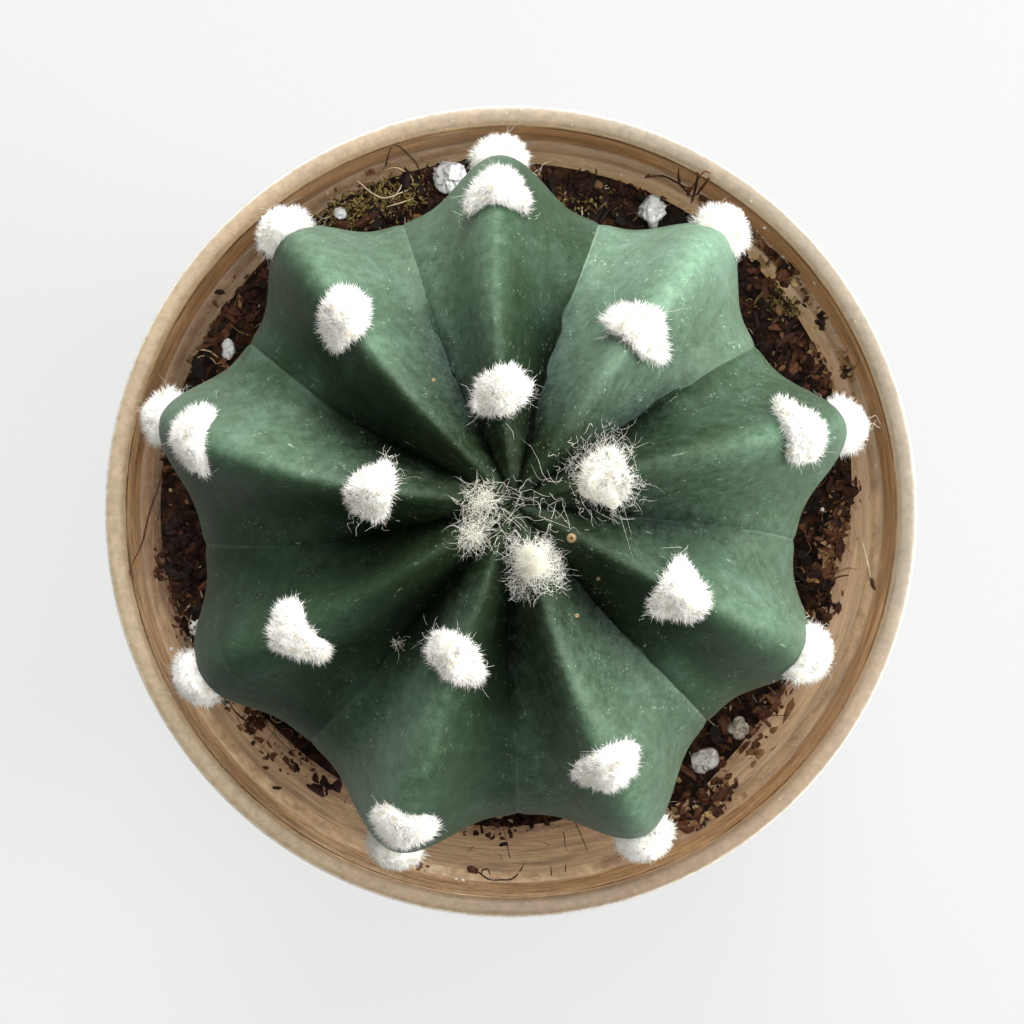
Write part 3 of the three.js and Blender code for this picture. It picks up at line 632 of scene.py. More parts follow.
# Living skin under a thin film of wax: matt blue green, paler down the sides, and full of fine pale
# flecks and short scratches. Light and shade are painted on it too: each flank lighter or darker as the
# light falls on it, a painted blue grey sheen where it is painted lightest, a painted highlight along
# the crests, and the crown and the folds deep green, partly their own colour and partly painted shade
SKIN_DEEP = "#091008"
SKIN_CROWN = "#14200e"
SKIN_GREEN = "#293a27"
SKIN_MID = "#324633"
SKIN_BLOOM = "#415647"
SKIN_CREST_HIGHLIGHT = "#55755c"
SKIN_FLECK = "#b9cab0"
SKIN_WAX_AND_PAINTED_SHEEN = "#a3bfb3"
SKIN_CORK = "#a8906a"
SKIN_PIT = "#5a4023"
SCAR_PLACES = [(5.7, -2.5, 0.5), (8.3, -6.4, 0.2), (6.3, -9.9, 0.22), (-12.0, -1.1, 0.2), (-7.4, 12.6, 0.2)]

epidermis, tree, shader = new_material("waxy_living_skin")
place = node(tree, "TexCoord").outputs["Object"]
share = node(tree, "Attribute", attribute_name="share").outputs["Fac"]
surface = node(tree, "UVMap", uv_map="surface").outputs["UV"]
clouds = node(tree, "TexNoise", {"Vector": place, "Scale": 1 / (7 * MM), "Detail": 5.0, "Roughness": 0.6})
grown = node(tree, "Mapping", {"Vector": surface, "Scale": (0.9, 0.35, 1)})
fibres = node(tree, "TexNoise", {"Vector": grown, "Scale": 1.0, "Detail": 6.0, "Roughness": 0.7})
mixed = node(tree, "MixRGB", (0.3, clouds, fibres))
tone = node(tree, "ValToRGB", {"Fac": mixed},
            stops=((0.36, SKIN_GREEN), (0.52, SKIN_MID), (0.68, SKIN_BLOOM)))
along = node(tree, "Attribute", attribute_name="along").outputs["Fac"]
# Deep green at the crown: partly the young skin's own colour, partly painted shade
young_and_painted_shade = node(tree, "MapRange", (along, 28, 8, 0, 0.95), interpolation_type="SMOOTHSTEP")
grown_tone = node(tree, "MixRGB", (young_and_painted_shade, tone, SKIN_CROWN))
# Deep green towards the floor of the folds near the crown: partly the skin's own colour, partly painted
# shade; the same mask makes the folds duller
in_fold = node(tree, "MapRange", (share, 0.5, 1.0, 0, 0.85), interpolation_type="SMOOTHSTEP")
inner = node(tree, "MapRange", (along, 34, 14), interpolation_type="SMOOTHSTEP")
fold = node(tree, "Math", (in_fold, inner), operation="MULTIPLY")
folded = node(tree, "MixRGB", (fold, grown_tone, SKIN_DEEP))
cells = node(tree, "TexVoronoi", {"Vector": place, "Scale": 1 / (0.42 * MM)})
near_cell = node(tree, "MapRange", (cells, 0.36, 0.1))
patches = node(tree, "TexNoise", {"Vector": place, "Scale": 1 / (1.7 * MM), "Detail": 5.0,
                                  "Roughness": 0.7})
here = node(tree, "MapRange", (patches, 0.54, 0.74, 0, 0.5))
flecks = node(tree, "Math", (near_cell, here), operation="MULTIPLY")
flecked = node(tree, "MixRGB", (flecks, folded, SKIN_FLECK))
# Painted highlight: a paler green along the crests beyond the crown, broken up by noise
crest = node(tree, "MapRange", (share, 0.3, 0.0, 0, 1.0), interpolation_type="SMOOTHSTEP")
open_crest = node(tree, "MapRange", (along, 14, 26, 0.1, 0.5))
crested = node(tree, "Math", (crest, open_crest), operation="MULTIPLY")
crest_highlight = node(tree, "Math", (crested, patches), operation="MULTIPLY")
crest_highlighted = node(tree, "MixRGB", (crest_highlight, flecked, SKIN_CREST_HIGHLIGHT))
drawn_out = node(tree, "Mapping", {"Vector": surface, "Scale": (3.2, 0.45, 1)})
lines = node(tree, "TexNoise", {"Vector": drawn_out, "Scale": 1.0, "Detail": 3.0, "Roughness": 0.6,
                                "Distortion": 0.4})
scratch = node(tree, "MapRange", (lines, 0.67, 0.8, 0, 0.4))
scratched = node(tree, "MixRGB", (scratch, crest_highlighted, SKIN_FLECK))
on_seam = node(tree, "MapRange", (share, 0.98, 0.998, 0, 0.07))
outer_part = node(tree, "MapRange", (along, 26, 34))
seam = node(tree, "Math", (on_seam, outer_part), operation="MULTIPLY")
seamed = node(tree, "MixRGB", (seam, scratched, SKIN_FLECK))
blotches = node(tree, "TexNoise", {"Vector": place, "Scale": 1 / (1.1 * MM), "Detail": 7.0,
                                   "Roughness": 0.75})
# Painted light and shade, with the paler wax of the lower sides: the skin's colour is scaled lighter or
# darker flank by flank
bloom_and_painted_light = node(tree, "Attribute", attribute_name="bloom_and_painted_light").outputs["Fac"]
uneven = node(tree, "MapRange", (blotches, 0.36, 0.64, 0.8, 1.2))
strength = node(tree, "Math", (uneven, bloom_and_painted_light), operation="MULTIPLY")
skin_bloom_and_painted_light = node(tree, "VectorMath", {0: seamed, "Scale": strength}, operation="SCALE")
# Painted sheen: where the skin is painted lightest it turns towards a pale blue grey, as lit wax shines
wax_and_painted_sheen = node(tree, "MapRange", (strength, 1.0, 3.0, 0, 0.25))
skin_colour = node(tree, "MixRGB", (wax_and_painted_sheen, skin_bloom_and_painted_light, SKIN_WAX_AND_PAINTED_SHEEN))
in_plan = node(tree, "Mapping", {"Vector": place, "Scale": (1, 1, 0)})
for x, y, radius in SCAR_PLACES:
    away = node(tree, "VectorMath", (in_plan, (x * MM, y * MM, 0)), operation="DISTANCE").outputs["Value"]
    scar = node(tree, "MapRange", (away, radius * MM, radius * 0.7 * MM))
    skin_colour = node(tree, "MixRGB", (scar, skin_colour, SKIN_CORK))
    pit = node(tree, "MapRange", (away, radius * 0.4 * MM, radius * 0.2 * MM))
    skin_colour = node(tree, "MixRGB", (pit, skin_colour, SKIN_PIT))
wax = node(tree, "MapRange", (blotches, 0, 1, 0.44, 0.62))
dull = node(tree, "MapRange", (fold, 0, 0.6, 1.0, 0.25))
sheen = node(tree, "MapRange", (bloom_and_painted_light, 0.6, 1.4, 0.05, 0.36))
glossy = node(tree, "Math", (dull, sheen), operation="MULTIPLY")
pores = node(tree, "TexNoise", {"Vector": place, "Scale": 1 / (0.25 * MM), "Detail": 4.0})
height = node(tree, "Math", (pores, flecks), operation="ADD")
relief = node(tree, "Bump", {"Height": height, "Strength": 0.25, "Distance": 0.12 * MM})
feed(shader, {"Base Color": skin_colour, "Roughness": wax, "IOR": 1.45, "Specular Tint": "#e3f0dc",
              "Specular IOR Level": glossy, "Normal": relief})

stem = new_mesh("ribbed_stem", stem_points, stem_faces, epidermis,
                values={"share": stem_share, "along": stem_along, "bloom_and_painted_light": stem_bloom_and_painted_light}, corners=stem_map)
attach(stem, "root")
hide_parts("cactus_stem")


# Potting mix: peat, composted bark and grit pressed round the root. It is crumbly on top and lies
# lowest towards the viewer, where water has washed it down.
MIX_BANK = 48.5
MIX_BANK_FADES = (21, 31)
MIX_TOP_ROWS = 50
MIX_COLUMNS = 324
MIX_CRUMB = 0.75
NECK_ROWS = 16
NECK_LENGTHS = (115, 80)
ROOT_CLEARANCE = 0.35
WALL_CLEARANCE = 0.3


def mix_height(x, y):
    """Level of the mix at a place: its height along the wall there, banked up to a least height round
    the root."""
    along_wall = np.interp((np.degrees(np.arctan2(y, x)) + 450) % 360 - 90, *zip(*MIX_HEIGHTS))
    banked = np.maximum(MIX_BANK - along_wall, 0) * (1 - smoothstep(np.hypot(x, y), *MIX_BANK_FADES))
    return along_wall + banked


def crumbs(points):
    """Height of the crumbs on the mix: three sizes of noise added up."""
    coarse = 0.8 * noise(points, 21, 2.6) + 0.5 * noise(points, 22, 1.1)
    return MIX_CRUMB * (coarse + 0.3 * noise(points, 23, 0.5))


mix_columns = np.linspace(8.5, -0.5, MIX_COLUMNS, endpoint=False)
neck_lengths = np.linspace(*NECK_LENGTHS, NECK_ROWS)
neck = stem_point(neck_lengths[:, None], mix_columns[None, :])
neck_axis = np.array([STEM_AXIS[0], STEM_AXIS[1], 0])
spread = (neck - neck_axis) * np.array([1, 1, 0])
neck = neck + ROOT_CLEARANCE * spread / np.linalg.norm(spread, axis=-1, keepdims=True)
turns = np.arctan2(neck[-1, :, 1], neck[-1, :, 0])
rim = np.stack([np.cos(turns), np.sin(turns)], -1)
outer_height = mix_height(40 * rim[:, 0], 40 * rim[:, 1])
outer = rim * (wall_inside(outer_height) - WALL_CLEARANCE)[:, None]
run = np.linspace(0, 1, MIX_TOP_ROWS)[:, None, None]
flat = neck[-1, None, :, :2] + (outer[None] - neck[-1, None, :, :2]) * run
rising = smoothstep(run[..., 0], 0, 0.45)
neck_level = neck[-1, None, :, 2]
surface_level = neck_level + (mix_height(flat[..., 0], flat[..., 1]) - neck_level) * rising
bed = np.concatenate([flat, surface_level[..., None]], -1)
bed[..., 2] += crumbs(bed) * rising * (1 - smoothstep(run[..., 0], 0.97, 1.0) * 0.6)
side_heights = np.linspace(0.97, 0.0, 6)
bottom = FLOOR_TOP + WALL_CLEARANCE
sides = []
for part in side_heights:
    level = bottom + (outer_height - bottom) * part
    sides.append(np.column_stack([rim * (wall_inside(level) - WALL_CLEARANCE)[:, None], level]))
mix_rings = np.concatenate([neck, bed[1:], np.array(sides)])
hole_bottom = np.array([STEM_AXIS[0], STEM_AXIS[1], neck[0, :, 2].min() - 3])
mix_points, mix_faces = shell(mix_rings, hole_bottom, np.array([0, 0, bottom]))

# Damp peat and bark: near black in its gaps, with red brown, yellow brown and straw coloured bits
MIX_BLACK = "#160d08"
MIX_BROWN = "#553722"
MIX_PALE = "#b08c62"

earth, tree, shader = new_material("damp_peat_and_bark")
place = node(tree, "TexCoord").outputs["Object"]
bits = node(tree, "TexNoise", {"Vector": place, "Scale": 1 / (1.4 * MM), "Detail": 8.0, "Roughness": 0.75})
tone = node(tree, "ValToRGB", {"Fac": bits}, stops=((0.46, MIX_BLACK), (0.64, MIX_BROWN), (0.85, MIX_PALE)))
relief = node(tree, "Bump", {"Height": bits, "Strength": 0.7, "Distance": 0.4 * MM})
feed(shader, {"Base Color": tone, "Roughness": 0.9, "Specular IOR Level": 0.25, "Normal": relief})
mix = new_mesh("crumbly_mix", mix_points, mix_faces, earth)
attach(mix, "root")
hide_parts("potting_mix")


# Areole wool: at each areole a pad of white felt, grown as thousands of fine hairs. The hairs in the
# middle mat into a flat-topped cushion, and those at its edge stand out in short locks.

# A pad's half width across the rib and half length along it, its turn in degrees, how much it
# narrows towards one end and bends, its height, and how loose its hairs are
PAD_SHAPES = {
    2: (2.3, 2.8, 10, 0.0, 0.0, 1.0, 2.3),
    3: (3.3, 2.8, 0, 0.0, 0.0, 1.5, 0.8),
    4: (3.0, 2.2, 21, 0.0, 0.0, 1.9, 0.2),
    5: (3.0, 2.2, -24, 0.1, 0.0, 1.9, 0.25),
    6: (3.2, 2.0, -20, -0.3, 0.0, 2.0, 0.1),
    7: (3.1, 2.5, 22, -0.45, 0.0, 2.0, 0.1),
    8: (3.6, 2.1, -2, -0.2, -0.2, 2.2, 0.05),
    9: (3.0, 2.5, 30, 0.2, 0.0, 2.2, 0.03),
    10: (3.5, 1.95, 11, -0.1, -0.3, 2.2, 0.0),
    11: (3.3, 2.1, 6, -0.05, 0.25, 2.2, 0.0),
    12: (3.5, 2.1, 20, -0.4, 0.0, 2.2, 0.05),
    13: (3.3, 2.2, 0, 0.0, -0.45, 2.2, 0.1),
    14: (3.4, 2.0, 20, -0.25, -0.35, 2.2, 0.05),
    15: (3.3, 2.1, 15, -0.1, -0.25, 2.3, 0.0),
}
SIDE_PAD = (3.05, 2.1, 0, 0.0, 0.0, 2.9, 0.05)
PAD_BRIDGE = 2.0
PAD_SHOULDER = 2.6
PAD_SPLAY = 0.12
PAD_SINK = 0.35
PAD_RINGS = 15
PAD_SPOKES = 44
CORE_REACH = 0.88
CORE_LIFT = 0.8
HAIR_RADIUS = 0.03
SHORT_HAIRS = 2200
SHORT_LENGTHS = (0.45, 1.15)
FRINGE_HAIRS = 1080
FRINGE_LENGTHS = (0.25, 0.9)
STRAY_HAIRS = 12
STRAY_LENGTHS = (0.7, 1.5)
CURLS = 640
CURL_LENGTHS = (0.4, 1.05)
# The share of hairs on the tufts that are seen whole, on those half under a rib and on those below
HAIR_SHARES = [(16, 1.0), (25, 0.52), (31, 0.12)]


def unit(vectors):
    """The same directions with a length of one."""
    return vectors / np.linalg.norm(vectors, axis=-1, keepdims=True)


def tubes(paths, radii, sides=3):
    """Closed thin tubes: rings of points square to each path at its radius, drawn to its last point."""
    count, steps = paths.shape[:2]
    heading = unit(np.gradient(paths, axis=1))
    aside = unit(np.cross(heading, np.roll(heading[:, :1], 1, axis=-1) + np.array([0.13, 0.37, 0.21])))
    above = np.cross(heading, aside)
    angle = np.arange(sides) * 2 * np.pi / sides
    ring = aside[:, :-1, None] * np.cos(angle)[:, None] + above[:, :-1, None] * np.sin(angle)[:, None]
    rings = paths[:, :-1, None] + ring * radii[:, :-1, None, None]
    points = np.concatenate([rings.reshape(count, -1, 3), paths[:, -1:]], 1)
    walls = grid_faces(steps - 1, sides)[:, ::-1]
    last = (steps - 2) * sides + np.arange(sides)
    tip = np.stack([last, last - last[0] + (steps - 2) * sides, np.full(sides, (steps - 1) * sides)], -1)
    tip[:, 1] = (steps - 2) * sides + (np.arange(sides) + 1) % sides
    base = (np.arange(count) * points.shape[1])[:, None, None]
    root = np.arange(sides)[None, ::-1]
    return points.reshape(-1, 3), [(part + base).reshape(-1, part.shape[1]) for part in (walls, tip, root)]


def hair_paths(roots, ways, lengths, steps, curl, random):
    """A path for each hair: straight from its root, bent to one side by the square of the way along,
    and swung round by a slow turn whose size is the curl."""
    count = len(roots)
    t = np.linspace(0, 1, steps)[None, :, None]
    bend = random.normal(size=(count, 1, 3)) * curl
    swing = unit(np.cross(ways, random.normal(size=(count, 3))))[:, None]
    phase = random.uniform(0, 2 * np.pi, (count, 1, 1))
    turns = random.uniform(3, 8, (count, 1, 1))
    wave = np.sin(phase + turns * t) - np.sin(phase)
    reach = lengths[:, None, None]
    return roots[:, None] + reach * (ways[:, None] * t + bend * t ** 2 + swing * wave * curl * 0.35)


def on_pad(k, r, phi, lift):
    """A place on areole k's pad: r from 0 in its middle to 1 at its edge, phi round it, and lift from 0
    on the skin to 1 on the felt. Its outline is a wavy oval that narrows and bends, its height a
    flat-topped dome, and its foot follows the skin down both flanks until it bridges the groove."""
    half_across, half_along, turn, taper, bend, height, _ = PAD_SHAPES.get(k, SIDE_PAD)
    s, u = areole_length(k), areole_rib(k)
    base = stem_point(s, u)
    along = unit(stem_point(s + 1.5, u) - stem_point(s - 1.5, u))
    across = unit(stem_point(s, u - 0.06) - stem_point(s, u + 0.06))
    out = unit(np.cross(along, across))
    wavy = 1 + 0.06 * np.sin(3 * phi + 2.1 * k) + 0.05 * np.sin(5 * phi + 3.7 * k)
    p, q = r * wavy * np.cos(phi), r * wavy * np.sin(phi)
    long_side = half_across * p
    short_side = half_along * (q * (1 + taper * p) + bend * (p * p - 0.33))
    cosine, sine = math.cos(math.radians(turn)), math.sin(math.radians(turn))
    lateral = long_side * cosine + short_side * sine
    lengthwise = short_side * cosine - long_side * sine
    width = np.linalg.norm(stem_point(s, u + 0.05) - stem_point(s, u - 0.05)) / 0.1
    skin_there = stem_point(np.maximum(s + lengthwise, 0.3), u - lateral / width)
    drop = PAD_BRIDGE * np.tanh((skin_there - base) @ out / PAD_BRIDGE)
    dome = height * np.sqrt(np.clip(1 - np.clip(r, 0, 1) ** PAD_SHOULDER, 0, 1))
    splay = 1 + PAD_SPLAY * lift * r ** 2
    return (base + across * (lateral * splay)[..., None] + along * (lengthwise * splay)[..., None]
            + out * (drop + dome * lift)[..., None])


def core_reach(k):
    """How far the matted middle of a pad reaches towards its edge: less where the hairs are loose."""
    return CORE_REACH * (1 - 0.26 * PAD_SHAPES.get(k, SIDE_PAD)[-1])


def pad_core(k):
    """The matted middle of a pad: the dome drawn in, with three sizes of lump on it, closed underneath."""
    r = np.append(np.sin(np.linspace(0.04, 1, PAD_RINGS) * np.pi / 2), [0.97, 0.7])[:, None] * core_reach(k)
    phi = np.linspace(0, 2 * np.pi, PAD_SPOKES, endpoint=False)[None, ::-1]
    r, phi = np.broadcast_arrays(r, phi)
    lift = np.full_like(r, CORE_LIFT)
    lift[PAD_RINGS:] = -PAD_SINK
    felt_at = on_pad(k, r, phi, lift)
    lumps = 0.13 * noise(felt_at, 40 + k, 1.1) + 0.1 * noise(felt_at, 80 + k, 0.45)
    lumps = lumps + 0.06 * noise(felt_at, 120 + k, 0.2)
    loose = PAD_SHAPES.get(k, SIDE_PAD)[-1]
    ragged = np.clip(1 + 0.7 * loose * noise(felt_at, 160 + k, 1.2), 0.3, 1.9)
    felt_at = on_pad(k, r * ragged, phi, lift + (1 + 0.8 * loose) * lumps * (lift > 0))
    middle = np.zeros(1)
    top, bottom = (on_pad(k, middle, middle, middle + rise)[0] for rise in (CORE_LIFT, -0.2))
    return shell(felt_at, top, bottom)


def pulled(places, seed, size):
    """Smooth random directions that neighbouring hairs share, so that they lean together in small locks."""
    return np.stack([noise(places, seed + axis, size) for axis in range(3)], -1)


def short_hairs(k, count, random):
    """Straight short hairs all over a pad, each a slim cone: upright in the middle, leaning out towards
    the edge, and pulled together in locks."""
    loose = PAD_SHAPES.get(k, SIDE_PAD)[-1]
    r = random.uniform(0, 1, count) ** 0.5 * core_reach(k)
    phi = random.uniform(0, 2 * np.pi, count)
    root = on_pad(k, r, phi, np.full(count, CORE_LIFT - 0.05))
    ways = unit(on_pad(k, r + 0.1, phi, np.full(count, 1.15)) - root)
    unruly = (0.35 + 0.3 * loose) * random.normal(size=(count, 3))
    ways = unit(ways + 0.75 * pulled(root, 200 + 3 * k, 0.55) + unruly)
    length = random.uniform(*SHORT_LENGTHS, count) * (0.75 + 0.35 * r)
    paths = np.stack([root, root + ways * length[:, None]], 1)
    return tubes(paths, HAIR_RADIUS * random.uniform(0.7, 1.3, (count, 1)) * np.array([1.3, 0.2]))


def fringe(k, count, random):
    """Short bowed hairs from the side of a pad that stand out over the skin all round it."""
    loose = PAD_SHAPES.get(k, SIDE_PAD)[-1]
    phi = random.uniform(0, 2 * np.pi, count)
    lift = random.uniform(0.0, 0.8, count)
    root = on_pad(k, np.full(count, core_reach(k) * 0.97), phi, lift)
    ways = unit(on_pad(k, np.full(count, core_reach(k) + 0.28), phi, lift * 1.2) - root)
    ways = unit(ways + 0.7 * pulled(root, 300 + 3 * k, 0.5) + 0.4 * random.normal(size=(count, 3)))
    shortest, longest = FRINGE_LENGTHS
    length = shortest + (longest - shortest) * random.uniform(0, 1, count) ** 1.5
    paths = hair_paths(root, ways, length, 3, 0.25 + 0.3 * loose, random)
    taper = np.linspace(1.1, 0.4, 3)[None, :] * random.uniform(0.7, 1.2, (count, 1))
    return tubes(paths, HAIR_RADIUS * taper)


def strays(k, count, random):
    """Single longer hairs from a pad's edge that splay out over the skin."""
    phi = random.uniform(0, 2 * np.pi, count)
    root = on_pad(k, np.full(count, 0.85), phi, np.full(count, 0.4))
    ways = unit(on_pad(k, np.full(count, 1.0), phi, np.full(count, 0.55)) - root)
    ways = unit(ways + 0.5 * random.normal(size=(count, 3)))
    paths = hair_paths(root, ways, random.uniform(*STRAY_LENGTHS, count), 7, 0.45, random)
    taper = np.linspace(1, 0.4, 7)[None, :] * random.uniform(0.5, 0.9, (count, 1))
    return tubes(paths, HAIR_RADIUS * taper)


def curls(k, random):
    """Tangled curled hairs over and round a pad whose hairs are loose, in clumps that leave gaps."""
    count = 4 + int(CURLS * PAD_SHAPES.get(k, SIDE_PAD)[-1])
    clump = random.uniform(0, 2 * np.pi, 14)[random.integers(0, 14, count)]
    phi = clump + 0.13 * random.normal(size=count)
    r = random.uniform(0.0, 1.15, count)
    root = on_pad(k, r, phi, random.uniform(0.5, 1.1, count)) + 0.15 * random.normal(size=(count, 3))
    ways = unit(random.normal(size=(count, 3)) * np.array([1, 1, 0.6]))
    paths = hair_paths(root, ways, random.uniform(*CURL_LENGTHS, count), 7, 0.8, random)
    taper = np.linspace(1, 0.5, 7)[None, :] * random.uniform(0.4, 0.7, (count, 1))
    return tubes(paths, HAIR_RADIUS * taper)


# Knots of curled thread lie on the crown, one reaches from it to the tuft beside it, and a wisp has
# caught in a groove. A knot's place, its spread, its number of threads, their lengths and its lift
CROWN_KNOTS = [
    (-2.7, 1.3, 0.75, 280, 0.4, 1.2, 0.9), (-3.6, -2.3, 0.65, 280, 0.4, 1.1, 0.7),
    (-3.0, -0.4, 1.2, 130, 0.5, 1.5, 0.5), (-0.6, 0.4, 1.6, 60, 0.8, 2.2, 0.3),
    (3.0, 0.2, 1.6, 30, 1.0, 2.4, 0.3), (6.4, 4.4, 0.9, 90, 0.5, 1.3, 0.9),
    (9.4, 6.0, 1.1, 90, 0.5, 1.3, 1.3), (-11.0, -12.6, 0.3, 45, 0.3, 0.7, 0.0),
]
# Where single long threads start and end
LONG_THREADS = [(10.1, 0.6, 11.6, -4.9), (10.6, 0.9, 11.5, -2.4), (2.6, -0.4, 5.6, -1.6),
                (-0.7, 0.3, 1.9, -2.2)]
THREAD_STEPS = 7
# The stem's uppermost rows of points, which hold all that can be seen of it from above
CROWN_ROWS = 80


def skin_height(x, y):
    """Height of the stem's crown at places in plan: the height of the nearest points of its surface."""
    near = skin[:CROWN_ROWS].reshape(-1, 3)
    away = (near[None, :, 0] - x[:, None]) ** 2 + (near[None, :, 1] - y[:, None]) ** 2
    return near[np.argmin(away, 1), 2]


def crown_threads(random):
    """Curled threads scattered round each knot by a normal spread, just above the skin under them."""
    rows = np.repeat(np.array(CROWN_KNOTS), np.array(CROWN_KNOTS)[:, 3].astype(int), axis=0)
    count = len(rows)
    flat = rows[:, :2] + random.normal(size=(count, 2)) * rows[:, 2:3]
    lift = rows[:, 6] * random.uniform(0.0, 1.0, count) + 0.05
    roots = np.column_stack([flat, skin_height(flat[:, 0], flat[:, 1]) + lift])
    ways = unit(random.normal(size=(count, 3)) * np.array([1, 1, 0.5]) + np.array([0, 0, 0.15]))
    length = rows[:, 4] + (rows[:, 5] - rows[:, 4]) * random.uniform(0, 1, count) ** 2
    paths = hair_paths(roots, ways, length, THREAD_STEPS, 1.1, random)
    ends = np.array(LONG_THREADS)
    t = np.linspace(0, 1, THREAD_STEPS)
    x, y = (ends[:, a, None] + (ends[:, a + 2] - ends[:, a])[:, None] * t for a in (0, 1))
    level = skin_height(x.ravel(), y.ravel()).reshape(x.shape)
    level = np.maximum(level, level[:, :1] + (level[:, -1:] - level[:, :1]) * t) + 0.15
    paths = np.concatenate([paths, np.stack([x, y, level], -1)])
    taper = np.linspace(1, 0.45, THREAD_STEPS)[None, :] * random.uniform(0.4, 0.8, (len(paths), 1))
    return tubes(paths, HAIR_RADIUS * taper)


# Plant hair: hollow and white, so it scatters light as felt does, with a little cream in its depth
WOOL_WHITE = "#fdfcf8"
WOOL_CREAM = "#eee6d4"
WOOL_THREAD = "#dedbc6"
THREAD_CREAM = 0.6
CURL_CREAM = 0.35
LOOSE_CREAM = 0.4

felt, tree, shader = new_material("white_plant_hair")
place = node(tree, "TexCoord").outputs["Object"]
matting = node(tree, "TexNoise", {"Vector": place, "Scale": 1 / (0.9 * MM), "Detail": 4.0})
tone = node(tree, "ValToRGB", {"Fac": matting}, stops=((0.3, WOOL_CREAM), (0.5, WOOL_WHITE)))
cream = node(tree, "Attribute", attribute_name="cream").outputs["Fac"]
creamy = node(tree, "MixRGB", (cream, tone, WOOL_THREAD))
feed(shader, {"Base Color": creamy, "Roughness": 0.95, "Specular IOR Level": 0.2, "Sheen Weight": 0.3})

wool_random = np.random.default_rng(7)
for k in range(1, AREOLE_COUNT):
    if k == 1:
        name, parts, creams = "crown", [crown_threads(wool_random)], [THREAD_CREAM]
    else:
        share = next(share for below, share in HAIR_SHARES if k < below)
        name = f"{k:02d}"
        parts = [pad_core(k), short_hairs(k, int(SHORT_HAIRS * share), wool_random),
                 fringe(k, int(FRINGE_HAIRS * share), wool_random), strays(k, STRAY_HAIRS, wool_random),
                 curls(k, wool_random)]
        matted = min(1, LOOSE_CREAM * PAD_SHAPES.get(k, SIDE_PAD)[-1])
        creams = [matted, matted, 0.5 * matted, 0, CURL_CREAM]
    creams = np.concatenate([np.full(len(part[0]), cream) for part, cream in zip(parts, creams)])
    tuft = new_mesh(f"wool_tuft_{name}", *join(parts), felt, values={"cream": creams})
    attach(tuft, "root")
    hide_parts(f"areole_wool_{name}")


# Perlite: volcanic glass popped by heat into light white grains full of bubbles, here left on top of
# the mix by watering. The grains that lie lowest are stained by it.
GRAIN_NODES = [f"perlite_grain_{number}" for number in range(1, 9)]
GRAIN_ROWS = 34
GRAIN_COLUMNS = 50
GRAIN_LUMPS = 0.28
GRAIN_PITS = 0.6
SPECK_PLACES = [(26.8, 30.0), (29.2, 27.3), (27.9, 24.0), (26.7, 23.5), (32.1, 24.2), (34.3, 0.2),
                (28.5, -21.4), (-5.9, -39.5), (-5.2, -39.6), (-7.2, -39.2), (-19.6, 32.3), (-17.9, 33.4),
                (12.0, 36.6), (-38.9, 8.2), (-30.4, 17.6), (22.8, -30.2), (33.6, -17.3), (-36.6, -14.8)]
SPECK_SIZES = (0.12, 0.28)


def pebble(low, high, seed):
    """A lump that fills a box: a ball whose radius follows noise, with small bubbles bitten out."""
    middle, half = (np.array(low) + np.array(high)) / 2, (np.array(high) - np.array(low)) / 2
    theta = np.linspace(0, np.pi, GRAIN_ROWS + 2)[1:-1, None]
    phi = np.linspace(0, 2 * np.pi, GRAIN_COLUMNS, endpoint=False)[None, :]
    ball = np.stack([np.sin(theta) * np.cos(phi), np.sin(theta) * np.sin(phi), np.cos(theta) + 0 * phi], -1)

    def swollen(ways):
        at = ways * half
        small = np.clip(noise(at, seed + 3, 0.42) + 0.08, 0, 1)
        bitten = small + np.clip(noise(at, seed + 4, 0.75) - 0.45, 0, 1)
        radius = 0.95 + GRAIN_LUMPS * noise(at, seed, half.mean() * 0.8) - GRAIN_PITS * bitten
        return middle + ways * half * radius[..., None]

    return shell(swollen(ball), swollen(np.array([0, 0, 1.0])), swollen(np.array([0, 0, -1.0])))


def ground(x, y):
    """Height of the highest surface in the pot at a place: the mix with its crumbs, else the pot's wall,
    its ledge or its collar above the mix."""
    radius = np.hypot(x, y)
    level = mix_height(x, y)
    on_mix = level + 0.5 * crumbs(np.stack([x, y, level], -1))
    up_wall = (radius - FLOOR_RADIUS) / (LEDGE_INNER - FLOOR_RADIUS)
    wall = FLOOR_TOP + up_wall * (LEDGE_HEIGHT - 0.5 - FLOOR_TOP)
    above = np.where(radius < LEDGE_INNER, wall, LEDGE_HEIGHT - 0.3)
    up_collar = (radius - COLLAR_INNER) / (LIP_INNER - COLLAR_INNER)
    collar = LEDGE_HEIGHT + up_collar * (POT_HEIGHT - LEDGE_HEIGHT)
    above = np.where(radius < COLLAR_INNER, above, np.minimum(collar, POT_HEIGHT - 1))
    return np.where(radius < wall_inside(level) - WALL_CLEARANCE, on_mix, above)


